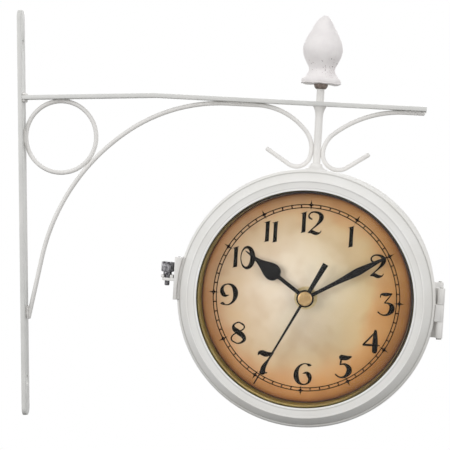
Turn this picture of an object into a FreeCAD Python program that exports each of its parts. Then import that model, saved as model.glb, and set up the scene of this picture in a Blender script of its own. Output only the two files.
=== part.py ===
"""Double-sided station clock on a welded strip-and-rod wall bracket, in millimetres.

Frame: origin midway between the two wall screws, on the back of the wall bar.
+X points away from the wall, +Z up, and the two dials face -Y (front) and +Y (rear).
The bracket's arm sags a little past its bend, so the post, the drum and the dials
are built upright around the drum's centre and then leaned with the arm.
"""
import FreeCAD, Part
import math
import os
import Sketcher

Vector = FreeCAD.Vector
Placement = FreeCAD.Placement
Rotation = FreeCAD.Rotation

DOC = FreeCAD.newDocument("StationClock")
SHEET = DOC.addObject("Spreadsheet::Sheet", "Sizes")

# ---------------------------------------------------------------- driving sizes
SIZES = [
    # bracket
    ("strip_width", 12.0, "wall bar and arm: width of the flat strip"),
    ("strip_thickness", 3.0, "wall bar and arm: thickness of the flat strip"),
    ("wall_bar_length", 296.0, "wall bar: end to end"),
    ("screw_spacing", 245.0, "wall bar: distance between the two screw slots"),
    ("slot_length", 8.0, "wall bar: screw slot, end to end"),
    ("slot_width", 5.0, "wall bar: screw slot, across"),
    ("arm_height", 84.3, "arm: centre line above the middle of the screws"),
    ("bend_reach", 100.0, "arm: distance from the wall to the bend"),
    ("arm_lean", 3.8, "arm: fall past the bend, in degrees"),
    ("post_reach", 119.3, "arm: from the bend to the post, along the arm"),
    ("arm_tail", 75.8, "arm: from the post to the free end"),
    ("rod_radius", 1.6, "brace, ring and scroll: radius of the round rod"),
    ("ring_radius", 26.0, "corner ring: radius of the rod's centre line"),
    ("weld_bite", 0.12, "how far a welded rod sinks into what it is welded to"),
    ("post_radius", 2.75, "post: radius"),
    ("flare_radius", 5.0, "post: weld flare under the arm, largest radius"),
    ("flare_depth", 8.0, "post: height of the weld flare"),
    # finial, heights above the drum's centre
    ("case_drop", 136.7, "from the arm's centre line down to the drum's centre"),
    ("ferrule_low", 147.3, "ferrule: underside"),
    ("ferrule_radius", 5.0, "ferrule: radius"),
    ("finial_low", 151.0, "finial: underside of the foot"),
    ("finial_foot", 14.2, "finial: foot radius"),
    ("finial_waist", 9.2, "finial: waist radius"),
    ("waist_height", 161.0, "finial: height of the waist"),
    ("finial_bud", 14.2, "finial: largest radius of the bud"),
    ("bud_height", 174.5, "finial: height of the bud's largest radius"),
    ("finial_tip", 199.6, "finial: height of the tip"),
    # drum
    ("drum_radius", 86.0, "drum: outer radius"),
    ("drum_wall", 1.2, "drum: sheet thickness"),
    ("drum_edge", 38.0, "drum: half its depth"),
    ("stop_radius", 82.8, "drum: inner radius of the stop beads behind the dials"),
    ("stop_width", 2.0, "drum: width of a stop bead"),
    ("flange_radius", 8.0, "hanger flange: radius"),
    ("flange_top", 90.0, "hanger flange: height of its top"),
    ("pad_radius", 11.0, "hanger pad: radius"),
    ("pad_low", 80.0, "hanger pad: height of its underside"),
    ("washer_radius", 9.0, "post washer: radius"),
    ("washer_thickness", 1.6, "post washer: thickness"),
    ("nut_flats", 10.0, "lock nut: across flats"),
    ("nut_height", 5.0, "lock nut: height"),
    ("post_low", 71.5, "post: height of its lower end"),
    ("running_gap", 0.05, "radial clearance of a running fit"),
    # one face of the clock, depths measured out of the drum's middle plane
    ("dial_back", 27.7, "dial: depth of its back"),
    ("dial_thickness", 0.8, "dial: sheet thickness"),
    ("dial_radius", 84.4, "dial: radius"),
    ("bushing_radius", 3.9, "movement: radius of the threaded bushing"),
    ("dial_washer", 8.1, "dial nut: radius of the washer under it"),
    ("dial_washer_thickness", 0.5, "dial nut: thickness of the washer"),
    ("dial_nut_flats", 11.0, "dial nut: across flats"),
    ("dial_nut_height", 1.8, "dial nut: height"),
    ("spacer_inner", 73.4, "spacer ring: inner radius"),
    ("spacer_wall", 1.0, "spacer ring: wall"),
    ("spacer_front", 42.6, "spacer ring: depth of its front edge"),
    ("spacer_flange", 85.6, "spacer ring: radius of its flange"),
    ("flange_thickness", 0.8, "spacer ring: thickness of its flange"),
    ("opening_radius", 75.0, "bezel: radius of the opening"),
    ("bezel_front", 46.4, "bezel: depth of its front face"),
    ("bezel_wall", 1.2, "bezel: sheet thickness"),
    ("face_radius", 82.0, "bezel: radius where the front face ends"),
    ("shoulder_radius", 87.5, "bezel: radius where the shoulder ends"),
    ("shoulder_depth", 38.7, "bezel: depth where the shoulder ends"),
    ("bezel_radius", 89.85, "bezel: radius of the bead"),
    ("bead_front", 37.6, "bezel: depth where the bead's land starts"),
    ("bead_back", 34.4, "bezel: depth where the bead's land ends"),
    ("skirt_back", 32.3, "bezel: depth of the skirt's rear edge"),
    ("skirt_inner", 87.0, "bezel: inner radius of the skirt"),
    ("glass_radius", 79.0, "glass: radius"),
    ("glass_thickness", 2.0, "glass: thickness"),
    ("retainer_inner", 76.6, "glass retainer: inner radius"),
    ("retainer_thickness", 1.4, "glass retainer: thickness"),
    # door hinge, on the side away from the wall
    ("hinge_reach", 93.3, "hinge: pin axis, sideways from the centre"),
    ("hinge_depth", 34.0, "hinge: pin axis, depth"),
    ("hinge_height", -4.0, "hinge: height of its middle"),
    ("hinge_length", 34.4, "hinge: length of the barrel"),
    ("middle_knuckle", 11.6, "hinge: length of the door's knuckle"),
    ("knuckle_gap", 0.2, "hinge: gap between knuckles"),
    ("knuckle_radius", 2.5, "hinge: radius of the barrel"),
    ("pin_radius", 1.25, "hinge: radius of the pin"),
    ("leaf_outer", 88.4, "hinge: outer face of the drum's leaf"),
    ("leaf_back", 12.0, "hinge: depth where the drum's leaf starts"),
    ("leaf_front", 31.9, "hinge: depth where the drum's leaf ends"),
    ("leaf_arm", 2.4, "hinge: thickness of the leaf where it runs out to the barrel"),
    # latch, on the wall side
    ("latch_reach", 97.3, "latch: screw axis, sideways from the centre"),
    ("latch_depth", 36.0, "latch: screw axis, depth"),
    ("latch_height", 8.5, "latch: height where the door's tab meets the fork"),
    ("lug_outer", 92.2, "latch: outer face of the door's lug"),
    ("lug_length", 29.8, "latch: length of the door's lug"),
    ("lug_width", 5.2, "latch: width of the door's lug"),
    ("tab_thickness", 2.0, "latch: thickness of the tab and of the fork"),
    ("tab_radius", 3.6, "latch: radius of the tab's and the fork's ends"),
    ("fork_slot", 2.1, "latch: half the width of the fork's slot"),
    ("screw_radius", 1.75, "thumbscrew: radius of the thread"),
    ("screw_low", 3.0, "thumbscrew: height of its end"),
    ("collar_radius", 3.0, "thumbscrew: radius of the collar under the head"),
    ("collar_height", 1.9, "thumbscrew: height of the collar"),
    ("head_radius", 4.6, "thumbscrew: radius of the knurled head"),
    ("head_height", 7.5, "thumbscrew: height of the knurled head"),
    # movement
    ("movement_side", 56.0, "movement: side of the square housing"),
    ("movement_back", 10.7, "movement: depth of the housing's open back"),
    ("movement_wall", 1.1, "movement: wall"),
    ("cover_thickness", 0.8, "movement: thickness of the back cover"),
    ("bay_height", -12.4, "movement: height of the wall over the battery bay"),
    ("bushing_front", 31.5, "movement: depth of the bushing's front end"),
    ("tube_bore", 2.55, "movement: bore of the bushing"),
    ("gear_distance", 6.0, "motion work: distance between the two axes"),
    ("battery_radius", 7.1, "battery: radius"),
    ("battery_length", 49.3, "battery: length without its nub"),
    ("battery_height", -19.7, "battery: height of its axis"),
    ("battery_depth", 18.8, "battery: depth of its axis"),
    # hands
    ("hand_thickness", 0.4, "hands: sheet thickness"),
    ("hour_length", 50.5, "hour hand: axis to tip"),
    ("hour_depth", 32.6, "hour hand: depth of its back"),
    ("minute_length", 64.8, "minute hand: axis to tip"),
    ("minute_depth", 34.6, "minute hand: depth of its back"),
    ("second_length", 69.8, "second hand: axis to tip"),
    ("second_tail", 28.0, "second hand: axis to the end of its tail"),
    ("second_depth", 36.4, "second hand: depth of its back"),
    ("hub_radius", 6.1, "hands: radius of the black hub"),
    ("cap_radius", 5.0, "hands: radius of the brass cap"),
    ("cap_front", 38.6, "hands: depth of the cap's top"),
]

for row, (alias, value, meaning) in enumerate(SIZES, start=1):
    SHEET.set(f"A{row}", meaning)
    SHEET.set(f"B{row}", str(value))
    SHEET.setAlias(f"B{row}", alias)
DOC.recompute()


# ------------------------------------------------- sizes as numbers and formulas
def parts_of(terms):
    """A size is a number, an alias, "-alias", or a tuple of these to add up."""
    return terms if isinstance(terms, tuple) else (terms,)


def size(*terms):
    """The number that the terms add up to."""
    amount = 0.0
    for term in terms:
        if isinstance(term, tuple):
            amount += size(*term)
        elif isinstance(term, str):
            sign = -1.0 if term.startswith("-") else 1.0
            amount += sign * float(SHEET.get(term.lstrip("-")))
        else:
            amount += term
    return amount


def formula(terms):
    """The same sum as an expression on the sheet's cells."""
    words = []
    for term in parts_of(terms):
        if isinstance(term, str):
            sign = "-" if term.startswith("-") else "+"
            words.append(f"{sign} Sizes.{term.lstrip('-')}")
        else:
            words.append(f"{'-' if term < 0 else '+'} {abs(term):.6g}")
    return "0 " + " ".join(words)


def is_driven(terms):
    """Whether the sum names a cell of the sheet."""
    return any(isinstance(term, str) for term in parts_of(terms))


def bind(target, field, terms):
    """Bind one property of an object to the sheet."""
    if is_driven(terms):
        target.setExpression(field, formula(terms))
    else:
        target.setExpression(field, f"{size(terms):.6g}")


# ---------------------------------------------------------- primitives and joins
def minus(terms):
    """The terms, each with its sign turned."""
    turned_terms = []
    for term in parts_of(terms):
        if isinstance(term, str):
            turned_terms.append(term[1:] if term.startswith("-") else "-" + term)
        else:
            turned_terms.append(-term)
    return tuple(turned_terms)


def block(name, low, high):
    """A box between two corners."""
    item = DOC.addObject("Part::Box", name)
    for field, start, end in zip(("Length", "Width", "Height"), low, high):
        bind(item, field, parts_of(end) + minus(start))
    for field, start in zip("xyz", low):
        bind(item, f"Placement.Base.{field}", start)
    return item


TURNS = {
    "x": Rotation(Vector(0, 1, 0), 90),
    "y": Rotation(Vector(1, 0, 0), -90),
    "z": Rotation(),
}


def round_bar(name, axis, radius, start, end, centre):
    """A cylinder along one axis, from start to end, around the other two coordinates."""
    item = DOC.addObject("Part::Cylinder", name)
    bind(item, "Radius", radius)
    bind(item, "Height", parts_of(end) + minus(start))
    item.Placement = Placement(Vector(), TURNS[axis])
    across = [letter for letter in "xyz" if letter != axis]
    bind(item, f"Placement.Base.{axis}", start)
    for letter, offset in zip(across, centre):
        bind(item, f"Placement.Base.{letter}", offset)
    return item


def cut(name, base, *tools):
    """The base without the tools."""
    result = base
    for number, tool in enumerate(tools, start=1):
        step = DOC.addObject("Part::Cut", name if number == len(tools) else f"{name}_step{number}")
        step.Base = result
        step.Tool = tool
        result = step
    return result


def fuse(name, *pieces):
    """All the pieces as one solid."""
    result = DOC.addObject("Part::MultiFuse", name)
    result.Shapes = list(pieces)
    result.Refine = True
    return result


def common(name, first, second):
    """What the two pieces share."""
    result = DOC.addObject("Part::Common", name)
    result.Base = first
    result.Tool = second
    return result


# ------------------------------------------------------------- sketches and bodies
def new_body(name):
    body = DOC.addObject("PartDesign::Body", name)
    body.Label = name
    return body


def new_sketch(body, role, offset=0.0):
    """An empty sketch on one of the body's own origin planes, moved along its normal."""
    sketch = body.newObject("Sketcher::SketchObject", f"{body.Name}_sketch")
    plane = next(item for item in body.Origin.OriginFeatures if item.Role == role)
    sketch.AttachmentSupport = [(plane, "")]
    sketch.MapMode = "FlatFace"
    bind(sketch, "AttachmentOffset.Base.z", offset)
    return sketch


def fix_point(sketch, shape_index, end, across, up):
    """Hold one end of a line or an arc at coordinates bound to the sheet."""
    for kind, terms in (("DistanceX", across), ("DistanceY", up)):
        number = sketch.addConstraint(Sketcher.Constraint(kind, shape_index, end, size(terms)))
        if is_driven(terms):
            sketch.setExpression(f"Constraints[{number}]", formula(terms))


def arc_between(start, end, radius):
    """The short arc from start to end, curving left for a positive radius."""
    chord = end - start
    half = chord.Length / 2
    rise = math.sqrt(max(radius * radius - half * half, 0.0))
    left = Vector(-chord.y, chord.x, 0).normalize()
    side = 1.0 if radius > 0 else -1.0
    centre = (start + end) * 0.5 + left * (rise * side)
    first, last = (start, end) if radius > 0 else (end, start)
    angles = [math.atan2(point.y - centre.y, point.x - centre.x) for point in (first, last)]
    circle = Part.Circle(centre, Vector(0, 0, 1), abs(radius))
    return Part.ArcOfCircle(circle, angles[0], angles[1])


def outline(sketch, corners):
    """A closed outline through corners (across, up) or (across, up, radius of the edge there)."""
    spots = [Vector(size(corner[0]), size(corner[1]), 0) for corner in corners]
    ends = []
    for number, corner in enumerate(corners):
        before = spots[number - 1]
        if len(corner) == 3:
            radius = size(corner[2])
            index = sketch.addGeometry(arc_between(before, spots[number], radius))
            sketch.addConstraint(Sketcher.Constraint("Radius", index, abs(radius)))
            ends.append((index, 1, 2) if radius > 0 else (index, 2, 1))
        else:
            index = sketch.addGeometry(Part.LineSegment(before, spots[number]))
            ends.append((index, 1, 2))
    for number, corner in enumerate(corners):
        index, first, last = ends[number]
        after, after_first, after_last = ends[(number + 1) % len(ends)]
        sketch.addConstraint(Sketcher.Constraint("Coincident", index, last, after, after_first))
        fix_point(sketch, index, last, corner[0], corner[1])


def round_ended(sketch, half_width, low, high):
    """A closed outline with two straight sides and two round ends."""
    outline(sketch, [
        (-half_width, low + half_width),
        (0.0, low, half_width),
        (half_width, low + half_width, half_width),
        (half_width, high - half_width),
        (0.0, high, half_width),
        (-half_width, high - half_width, half_width),
    ])


def circle(sketch, radius, across=0.0, up=0.0):
    """A full circle bound to the sheet."""
    index = sketch.addGeometry(Part.Circle(Vector(size(across), size(up), 0), Vector(0, 0, 1), size(radius)))
    fix_point(sketch, index, 3, across, up)
    number = sketch.addConstraint(Sketcher.Constraint("Radius", index, size(radius)))
    if is_driven(radius):
        sketch.setExpression(f"Constraints[{number}]", formula(radius))


def pad(body, sketch, length, symmetric=False):
    """Thicken a sketch along its normal."""
    feature = body.newObject("PartDesign::Pad", f"{body.Name}_pad")
    feature.Profile = sketch
    bind(feature, "Length", length)
    if symmetric:
        feature.SideType = "Symmetric"
    return feature


def pocket_through(body, sketch):
    """Cut a sketch right through the body, both ways."""
    feature = body.newObject("PartDesign::Pocket", f"{body.Name}_pocket")
    feature.Profile = sketch
    feature.Type = "ThroughAll"
    feature.SideType = "Symmetric"
    return feature


def turned(name, corners):
    """A body of revolution about its Z axis, from an outline of (radius, height)."""
    body = new_body(name)
    sketch = new_sketch(body, "XZ_Plane")
    outline(sketch, corners)
    feature = body.newObject("PartDesign::Revolution", f"{name}_revolution")
    feature.Profile = sketch
    feature.ReferenceAxis = (sketch, ["V_Axis"])
    feature.Angle = 360
    return body


# ------------------------------------------------------------------ frames of parts
LEAN = Rotation(Vector(0, 1, 0), size("arm_lean"))
BEND = Placement(Vector(size("bend_reach"), 0, size("arm_height")), LEAN)
# the drum's centre, leaned with the arm: X along the arm, Z up the post
HUNG = BEND * Placement(Vector(size("post_reach"), 0, size("-case_drop")), Rotation())
# each face of the clock: X to the reader's right, Y up, Z out of the dial
FACES = {
    "front": HUNG * Placement(Vector(), Rotation(Vector(1, 0, 0), 90)),
    "rear": HUNG * Placement(Vector(), Rotation(Vector(0, 0, 1), 180) * Rotation(Vector(1, 0, 0), 90)),
}
NODES = {}


def node(name, item, frame=Placement()):
    """Name a finished sub-part and put it in its place."""
    item.Label = name
    item.Placement = frame
    NODES[name] = item
    return item


# ------------------------------------------------------------------------- bracket
def wall_bar():
    """Flat strip with rounded ends and two slotted screw holes, standing on edge at the wall."""
    body = new_body("wall_bar")
    end = size("wall_bar_length") / 2
    sketch = new_sketch(body, "YZ_Plane")
    round_ended(sketch, size("strip_width") / 2, -end, end)
    pad(body, sketch, "strip_thickness")
    slots = new_sketch(body, "YZ_Plane")
    reach = size("slot_length") / 2
    for middle in (-size("screw_spacing") / 2, size("screw_spacing") / 2):
        round_ended(slots, size("slot_width") / 2, middle - reach, middle + reach)
    pocket_through(body, slots)
    return body


def top_arm():
    """Flat strip running level from the wall bar, then falling by the lean past the bend."""
    body = new_body("top_arm")
    sketch = new_sketch(body, "XZ_Plane")
    half = size("strip_thickness") / 2
    lean = math.radians(size("arm_lean"))
    bend = Vector(size("bend_reach"), size("arm_height"), 0)
    along = Vector(math.cos(lean), -math.sin(lean), 0)
    across = Vector(math.sin(lean), math.cos(lean), 0)
    end = bend + along * size("post_reach", "arm_tail")
    skew = Vector(math.tan(lean / 2), 1, 0) * half
    wall = size("strip_thickness")
    corners = [Vector(wall, bend.y - half, 0), bend - skew, end - across * half]
    corners += [end + across * half, bend + skew, Vector(wall, bend.y + half, 0)]
    outline(sketch, [(spot.x, spot.y) for spot in corners])
    pad(body, sketch, "strip_width", symmetric=True)
    return cut("top_arm_drilled", body, post_hole("top_arm_hole"))


def post_hole(name):
    """The post's own diameter, as a tool that stands on the post's axis through the arm."""
    tool = DOC.addObject("Part::Cylinder", name)
    bind(tool, "Radius", "post_radius")
    tool.Height = 20
    tool.Placement = BEND * Placement(Vector(size("post_reach"), 0, -10), Rotation())
    return tool


def rod_along(name, start, heading, steps):
    """Round rod along straight runs (length, 0) and tangent arcs (radius, turn in degrees)."""
    spot = Vector(start[0], 0, start[1])
    angle = math.radians(heading)
    edges = []
    for reach, turn in steps:
        if turn == 0:
            after = spot + Vector(math.cos(angle), 0, math.sin(angle)) * reach
            edges.append(Part.LineSegment(spot, after).toShape())
        else:
            side = math.copysign(1, turn)
            swing = math.radians(turn)
            centre = spot + Vector(-math.sin(angle), 0, math.cos(angle)) * reach * side

            def on_arc(share):
                out = angle + swing * share
                return centre + Vector(math.sin(out), 0, -math.cos(out)) * reach * side

            after = on_arc(1)
            edges.append(Part.Arc(spot, on_arc(0.5), after).toShape())
            angle += swing
        spot = after
    path = Part.Wire(edges)
    first = Vector(math.cos(math.radians(heading)), 0, math.sin(math.radians(heading)))
    ring = Part.Wire(Part.makeCircle(size("rod_radius"), Vector(start[0], 0, start[1]), first))
    rod = DOC.addObject("Part::Feature", name)
    rod.Shape = path.makePipeShell([ring], True, False)
    expected = math.pi * size("rod_radius") ** 2 * path.Length
    print(f"{name}: length {path.Length:.1f}, volume {rod.Shape.Volume / expected:.4f} of section x length")
    return rod


def under_arm():
    """Height of a rod's centre line where it is welded along the arm's underside."""
    return size("case_drop", "-rod_radius", "weld_bite") - size("strip_thickness") / 2


def brace_rod():
    """One rod: up from the wall bar, along under the arm, and back in a scroll beside the post."""
    scroll = [(47.4, -50.0), (19.6, -57.3), (10.0, -104.8), (19.7, 0)]
    brace = [(120.0, 36.0), (150.0, 44.4)]
    run_start, run_end = -66.0, -45.0
    (across, up), heading = walk((run_start, under_arm()), 180.0, brace)
    bends_end = HUNG.multVec(Vector(across, 0, up)).x
    slope = math.radians(heading - size("arm_lean"))
    weld = size("strip_thickness", "rod_radius", "-weld_bite")
    brace.append(((weld - bends_end) / math.cos(slope), 0))
    foot, heading = walk((run_start, under_arm()), 180.0, brace)
    backwards = [(reach, -turn) for reach, turn in reversed(brace)]
    steps = backwards + [(run_end - run_start, 0)] + scroll
    return rod_along("brace_rod", foot, heading + 180.0, steps)


def walk(start, heading, steps):
    """Where a run of straights and arcs ends, and its heading there."""
    across, up = start
    angle = math.radians(heading)
    for reach, turn in steps:
        if turn == 0:
            across += math.cos(angle) * reach
            up += math.sin(angle) * reach
        else:
            side = math.copysign(1, turn)
            after = angle + math.radians(turn)
            across += reach * side * (math.sin(after) - math.sin(angle))
            up -= reach * side * (math.cos(after) - math.cos(angle))
            angle = after
    return (across, up), math.degrees(angle)


def outer_scroll():
    """Rod welded under the arm's free end that scrolls in beside the post."""
    scroll = [(14.0, 0), (77.8, 39.6), (19.3, 45.1), (11.3, 129.3), (18.8, 0)]
    return rod_along("outer_scroll", (74.7, under_arm()), 180.0, scroll)


def corner_ring():
    """Rod ring welded into the corner of the wall bar and the arm."""
    ring = DOC.addObject("Part::Torus", "corner_ring")
    bind(ring, "Radius1", "ring_radius")
    bind(ring, "Radius2", "rod_radius")
    return ring


def hanger_post():
    """Round post through the arm, with a weld flare under the arm and a threaded lower end."""
    under = size("case_drop") - size("strip_thickness") / 2
    return turned("hanger_post", [
        (0.0, "post_low"),
        (("post_radius", -0.5), "post_low"),
        ("post_radius", ("post_low", 0.5)),
        ("post_radius", (under, "-flare_depth")),
        ("flare_radius", under, -14.0),
        ("post_radius", under),
        ("post_radius", ("finial_low", 12.0)),
        (0.0, ("finial_low", 12.0)),
    ])


def finial_ferrule():
    """Half-round ferrule that the finial's foot sits on."""
    edge = ("ferrule_radius", -1.2)
    return turned("finial_ferrule", [
        ("post_radius", "ferrule_low"),
        (edge, "ferrule_low"),
        (edge, "finial_low", 1.9),
        ("post_radius", "finial_low"),
    ])


def finial():
    """Turned bud: a flared foot, a waist and a pointed bud, screwed onto the post's top."""
    return turned("finial", [
        ("post_radius", "finial_low"),
        (("finial_foot", -1.0), "finial_low"),
        (("finial_foot", -0.4), ("finial_low", 3.4), 2.2),
        ("finial_waist", "waist_height", -9.0),
        (("finial_bud", -0.6), ("bud_height", -4.0), -15.0),
        (("finial_bud", -0.5), ("bud_height", 4.0), 14.0),
        (4.4, ("finial_tip", -2.6), 42.0),
        (1.8, "finial_tip", 3.6),
        (0.0, "finial_tip"),
        (0.0, ("finial_low", 14.0)),
        ("post_radius", ("finial_low", 12.0)),
    ])


def bracket():
    """Everything that stays with the wall."""
    node("wall_bar", wall_bar())
    node("top_arm", top_arm())
    node("brace_rod", brace_rod(), HUNG)
    node("outer_scroll", outer_scroll(), HUNG)
    reach = size("strip_thickness", "ring_radius", "rod_radius", "-weld_bite")
    drop = size("arm_height", "-ring_radius", "-rod_radius", "weld_bite") - size("strip_thickness") / 2
    node("corner_ring", corner_ring(), Placement(Vector(reach, 0, drop), Rotation(Vector(1, 0, 0), 90)))
    node("hanger_post", hanger_post(), HUNG)
    node("finial_ferrule", finial_ferrule(), HUNG)
    node("finial", finial(), HUNG)


# ---------------------------------------------------------------------------- drum
def drum_shell():
    """Sheet drum open at both ends, with a stop bead behind each dial and a hole for the post."""
    inner = ("drum_radius", "-drum_wall")
    bead_out = "dial_back"
    bead_in = ("dial_back", "-stop_width")
    body = turned("drum_shell", [
        ("drum_radius", "drum_edge"),
        (inner, "drum_edge"),
        (inner, bead_out),
        ("stop_radius", bead_out),
        ("stop_radius", bead_in),
        (inner, bead_in),
        (inner, ("-dial_back", "stop_width")),
        ("stop_radius", ("-dial_back", "stop_width")),
        ("stop_radius", "-dial_back"),
        (inner, "-dial_back"),
        (inner, "-drum_edge"),
        ("drum_radius", "-drum_edge"),
    ])
    hole = round_bar("drum_post_hole", "y", ("post_radius", "running_gap"), 70.0, 100.0, (0.0, 0.0))
    return cut("drum_shell_drilled", body, hole)


def hanger_flange():
    """Turned collar saddled on the drum's top, around the post."""
    blank = round_bar("flange_blank", "y", "flange_radius", 80.0, "flange_top", (0.0, 0.0))
    drum = round_bar("flange_saddle", "z", "drum_radius", -20.0, 20.0, (0.0, 0.0))
    bore = round_bar("flange_bore", "y", ("post_radius", "running_gap"), 70.0, 100.0, (0.0, 0.0))
    return cut("hanger_flange", blank, drum, bore)


def hanger_pad():
    """Bearing pad saddled inside the drum's top, which rests on the post's washer."""
    blank = round_bar("pad_blank", "y", "pad_radius", "pad_low", 90.0, (0.0, 0.0))
    drum = round_bar("pad_saddle", "z", ("drum_radius", "-drum_wall"), -20.0, 20.0, (0.0, 0.0))
    bore = round_bar("pad_bore", "y", ("post_radius", "running_gap"), 70.0, 100.0, (0.0, 0.0))
    return cut("hanger_pad", common("pad_inside", blank, drum), bore)


def post_washer():
    """Washer under the bearing pad."""
    top = ("pad_low", -0.1)
    blank = round_bar("washer_blank", "z", "washer_radius", top + ("-washer_thickness",), top, (0.0, 0.0))
    bore = round_bar("washer_bore", "z", "post_radius", 60.0, 90.0, (0.0, 0.0))
    return cut("post_washer", blank, bore)


def hexagon(sketch, flats):
    """A regular hexagon across its flats."""
    corner = size(flats) / math.sqrt(3)
    turns = [math.radians(60 * number) for number in range(6)]
    outline(sketch, [(corner * math.cos(turn), corner * math.sin(turn)) for turn in turns])


def hex_nut(name, flats, bore, low, height):
    """Hexagon nut along its own Z axis."""
    body = new_body(name)
    sketch = new_sketch(body, "XY_Plane", low)
    hexagon(sketch, flats)
    circle(sketch, bore)
    pad(body, sketch, height)
    return body


def drum():
    """The drum with what carries it on the post."""
    face = FACES["front"]
    node("drum_shell", drum_shell(), face)
    node("hanger_flange", hanger_flange(), face)
    node("hanger_pad", hanger_pad(), face)
    node("post_washer", post_washer(), HUNG)
    low = ("pad_low", -0.1, "-washer_thickness", "-nut_height")
    node("post_lock_nut", hex_nut("post_lock_nut", "nut_flats", "post_radius", low, "nut_height"), HUNG)


# ---------------------------------------------------------------------- glazed door
# the inner face of the bezel's shoulder, from (radius, depth) to (radius, depth)
SHOULDER_INSIDE = (
    (("face_radius", -0.6), ("bezel_front", "-bezel_wall")),
    (("shoulder_radius", -1.1), ("shoulder_depth", -0.6)),
)


def bezel_ring():
    """Spun bezel: a narrow flat face, a sloping shoulder, a rolled bead and a short skirt."""
    inside = ("bezel_front", "-bezel_wall")
    return turned("bezel_ring", [
        ("opening_radius", "bezel_front"),
        ("opening_radius", inside),
        SHOULDER_INSIDE[0],
        SHOULDER_INSIDE[1],
        ("skirt_inner", ("bead_front", -0.4)),
        ("skirt_inner", "skirt_back"),
        (("bezel_radius", -1.2), "skirt_back"),
        ("bezel_radius", "bead_back"),
        ("bezel_radius", "bead_front"),
        (("bezel_radius", -0.9), ("bead_front", 0.9), 1.0),
        ("shoulder_radius", "shoulder_depth"),
        ("face_radius", ("bezel_front", -0.5)),
    ])


def ring(name, inner, outer, back, front):
    """A flat ring between two depths."""
    return turned(name, [(inner, back), (outer, back), (outer, front), (inner, front)])


def door_glass():
    """Round flat glass behind the bezel's lip."""
    front = ("bezel_front", "-bezel_wall")
    back = front + ("-glass_thickness",)
    return turned("door_glass", [(0.0, back), ("glass_radius", back), ("glass_radius", front), (0.0, front)])


def bezel_inside(depth):
    """Radius of the shoulder's inner face at a depth."""
    (front_radius, front), (back_radius, back) = SHOULDER_INSIDE
    share = (size(front) - depth) / (size(front) - size(back))
    return size(front_radius) + share * (size(back_radius) - size(front_radius))


def glass_retainer():
    """Snap ring wedged in the bezel's shoulder, which holds the glass to the lip."""
    front = size("bezel_front", "-bezel_wall", "-glass_thickness")
    back = front - size("retainer_thickness")
    return turned("glass_retainer", [
        ("retainer_inner", back),
        (bezel_inside(back), back),
        (bezel_inside(front), front),
        ("retainer_inner", front),
    ])


def knuckle(name, low, high):
    """A length of the hinge's barrel."""
    return round_bar(name, "y", "knuckle_radius", low, high, ("hinge_reach", "hinge_depth"))


def hinge_spans():
    """Heights where the knuckles start and end, from below: drum, door, drum."""
    middle = size("hinge_height")
    half = size("hinge_length") / 2
    inner = size("middle_knuckle") / 2
    gap = size("knuckle_gap")
    return [
        (middle - half, middle - inner - gap),
        (middle - inner, middle + inner),
        (middle + inner + gap, middle + half),
    ]


def drum_hinge_leaf():
    """The drum's half of the hinge: a saddled leaf and the upper and lower knuckles."""
    spans = hinge_spans()
    low, high = spans[0][0], spans[2][1]
    leaf = block("leaf_plate", (80.0, low, "leaf_back"), ("leaf_outer", high, "leaf_front"))
    seat = round_bar("leaf_seat", "z", "drum_radius", 0.0, 60.0, (0.0, 0.0))
    pieces = [cut("leaf_saddled", leaf, seat)]
    for number, (start, end) in enumerate((spans[0], spans[2])):
        pieces.append(block(f"leaf_arm{number}", ("drum_radius", start, ("leaf_front", "-leaf_arm")),
                            ("hinge_reach", end, "leaf_front")))
        pieces.append(knuckle(f"leaf_knuckle{number}", start, end))
    bore = round_bar("leaf_bore", "y", "pin_radius", -40.0, 40.0, ("hinge_reach", "hinge_depth"))
    return cut("drum_hinge_leaf", fuse("leaf_joined", *pieces), bezel_room("leaf_room"), bore)


def bezel_room(name):
    """The closed bezel's room with a little air, which the drum's fittings stay out of."""
    return round_bar(name, "z", ("bezel_radius", 0.3), ("skirt_back", -0.3), 60.0, (0.0, 0.0))


def door_hinge_leaf():
    """The door's half of the hinge: the middle knuckle and a web onto the bezel's bead."""
    low, high = hinge_spans()[1]
    web = block("web_plate", (("bezel_radius", -3.0), low, ("bead_back", 0.5)),
                ("hinge_reach", high, ("bead_front", -0.5)))
    seat = round_bar("web_seat", "z", "bezel_radius", 0.0, 60.0, (0.0, 0.0))
    joined = fuse("door_leaf_joined", cut("web_saddled", web, seat), knuckle("door_knuckle", low, high))
    bore = round_bar("door_bore", "y", ("pin_radius", "running_gap"), -40.0, 40.0,
                     ("hinge_reach", "hinge_depth"))
    return cut("door_hinge_leaf", joined, bore)


def hinge_pin():
    """Pin through the three knuckles, with a flat head below."""
    low, high = hinge_spans()[0][0], hinge_spans()[2][1]
    centre = ("hinge_reach", "hinge_depth")
    shaft = round_bar("pin_shaft", "y", "pin_radius", low, high + 0.6, centre)
    head = round_bar("pin_head", "y", ("pin_radius", 0.6), low - 1.0, low, centre)
    return fuse("hinge_pin", shaft, head)


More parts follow.
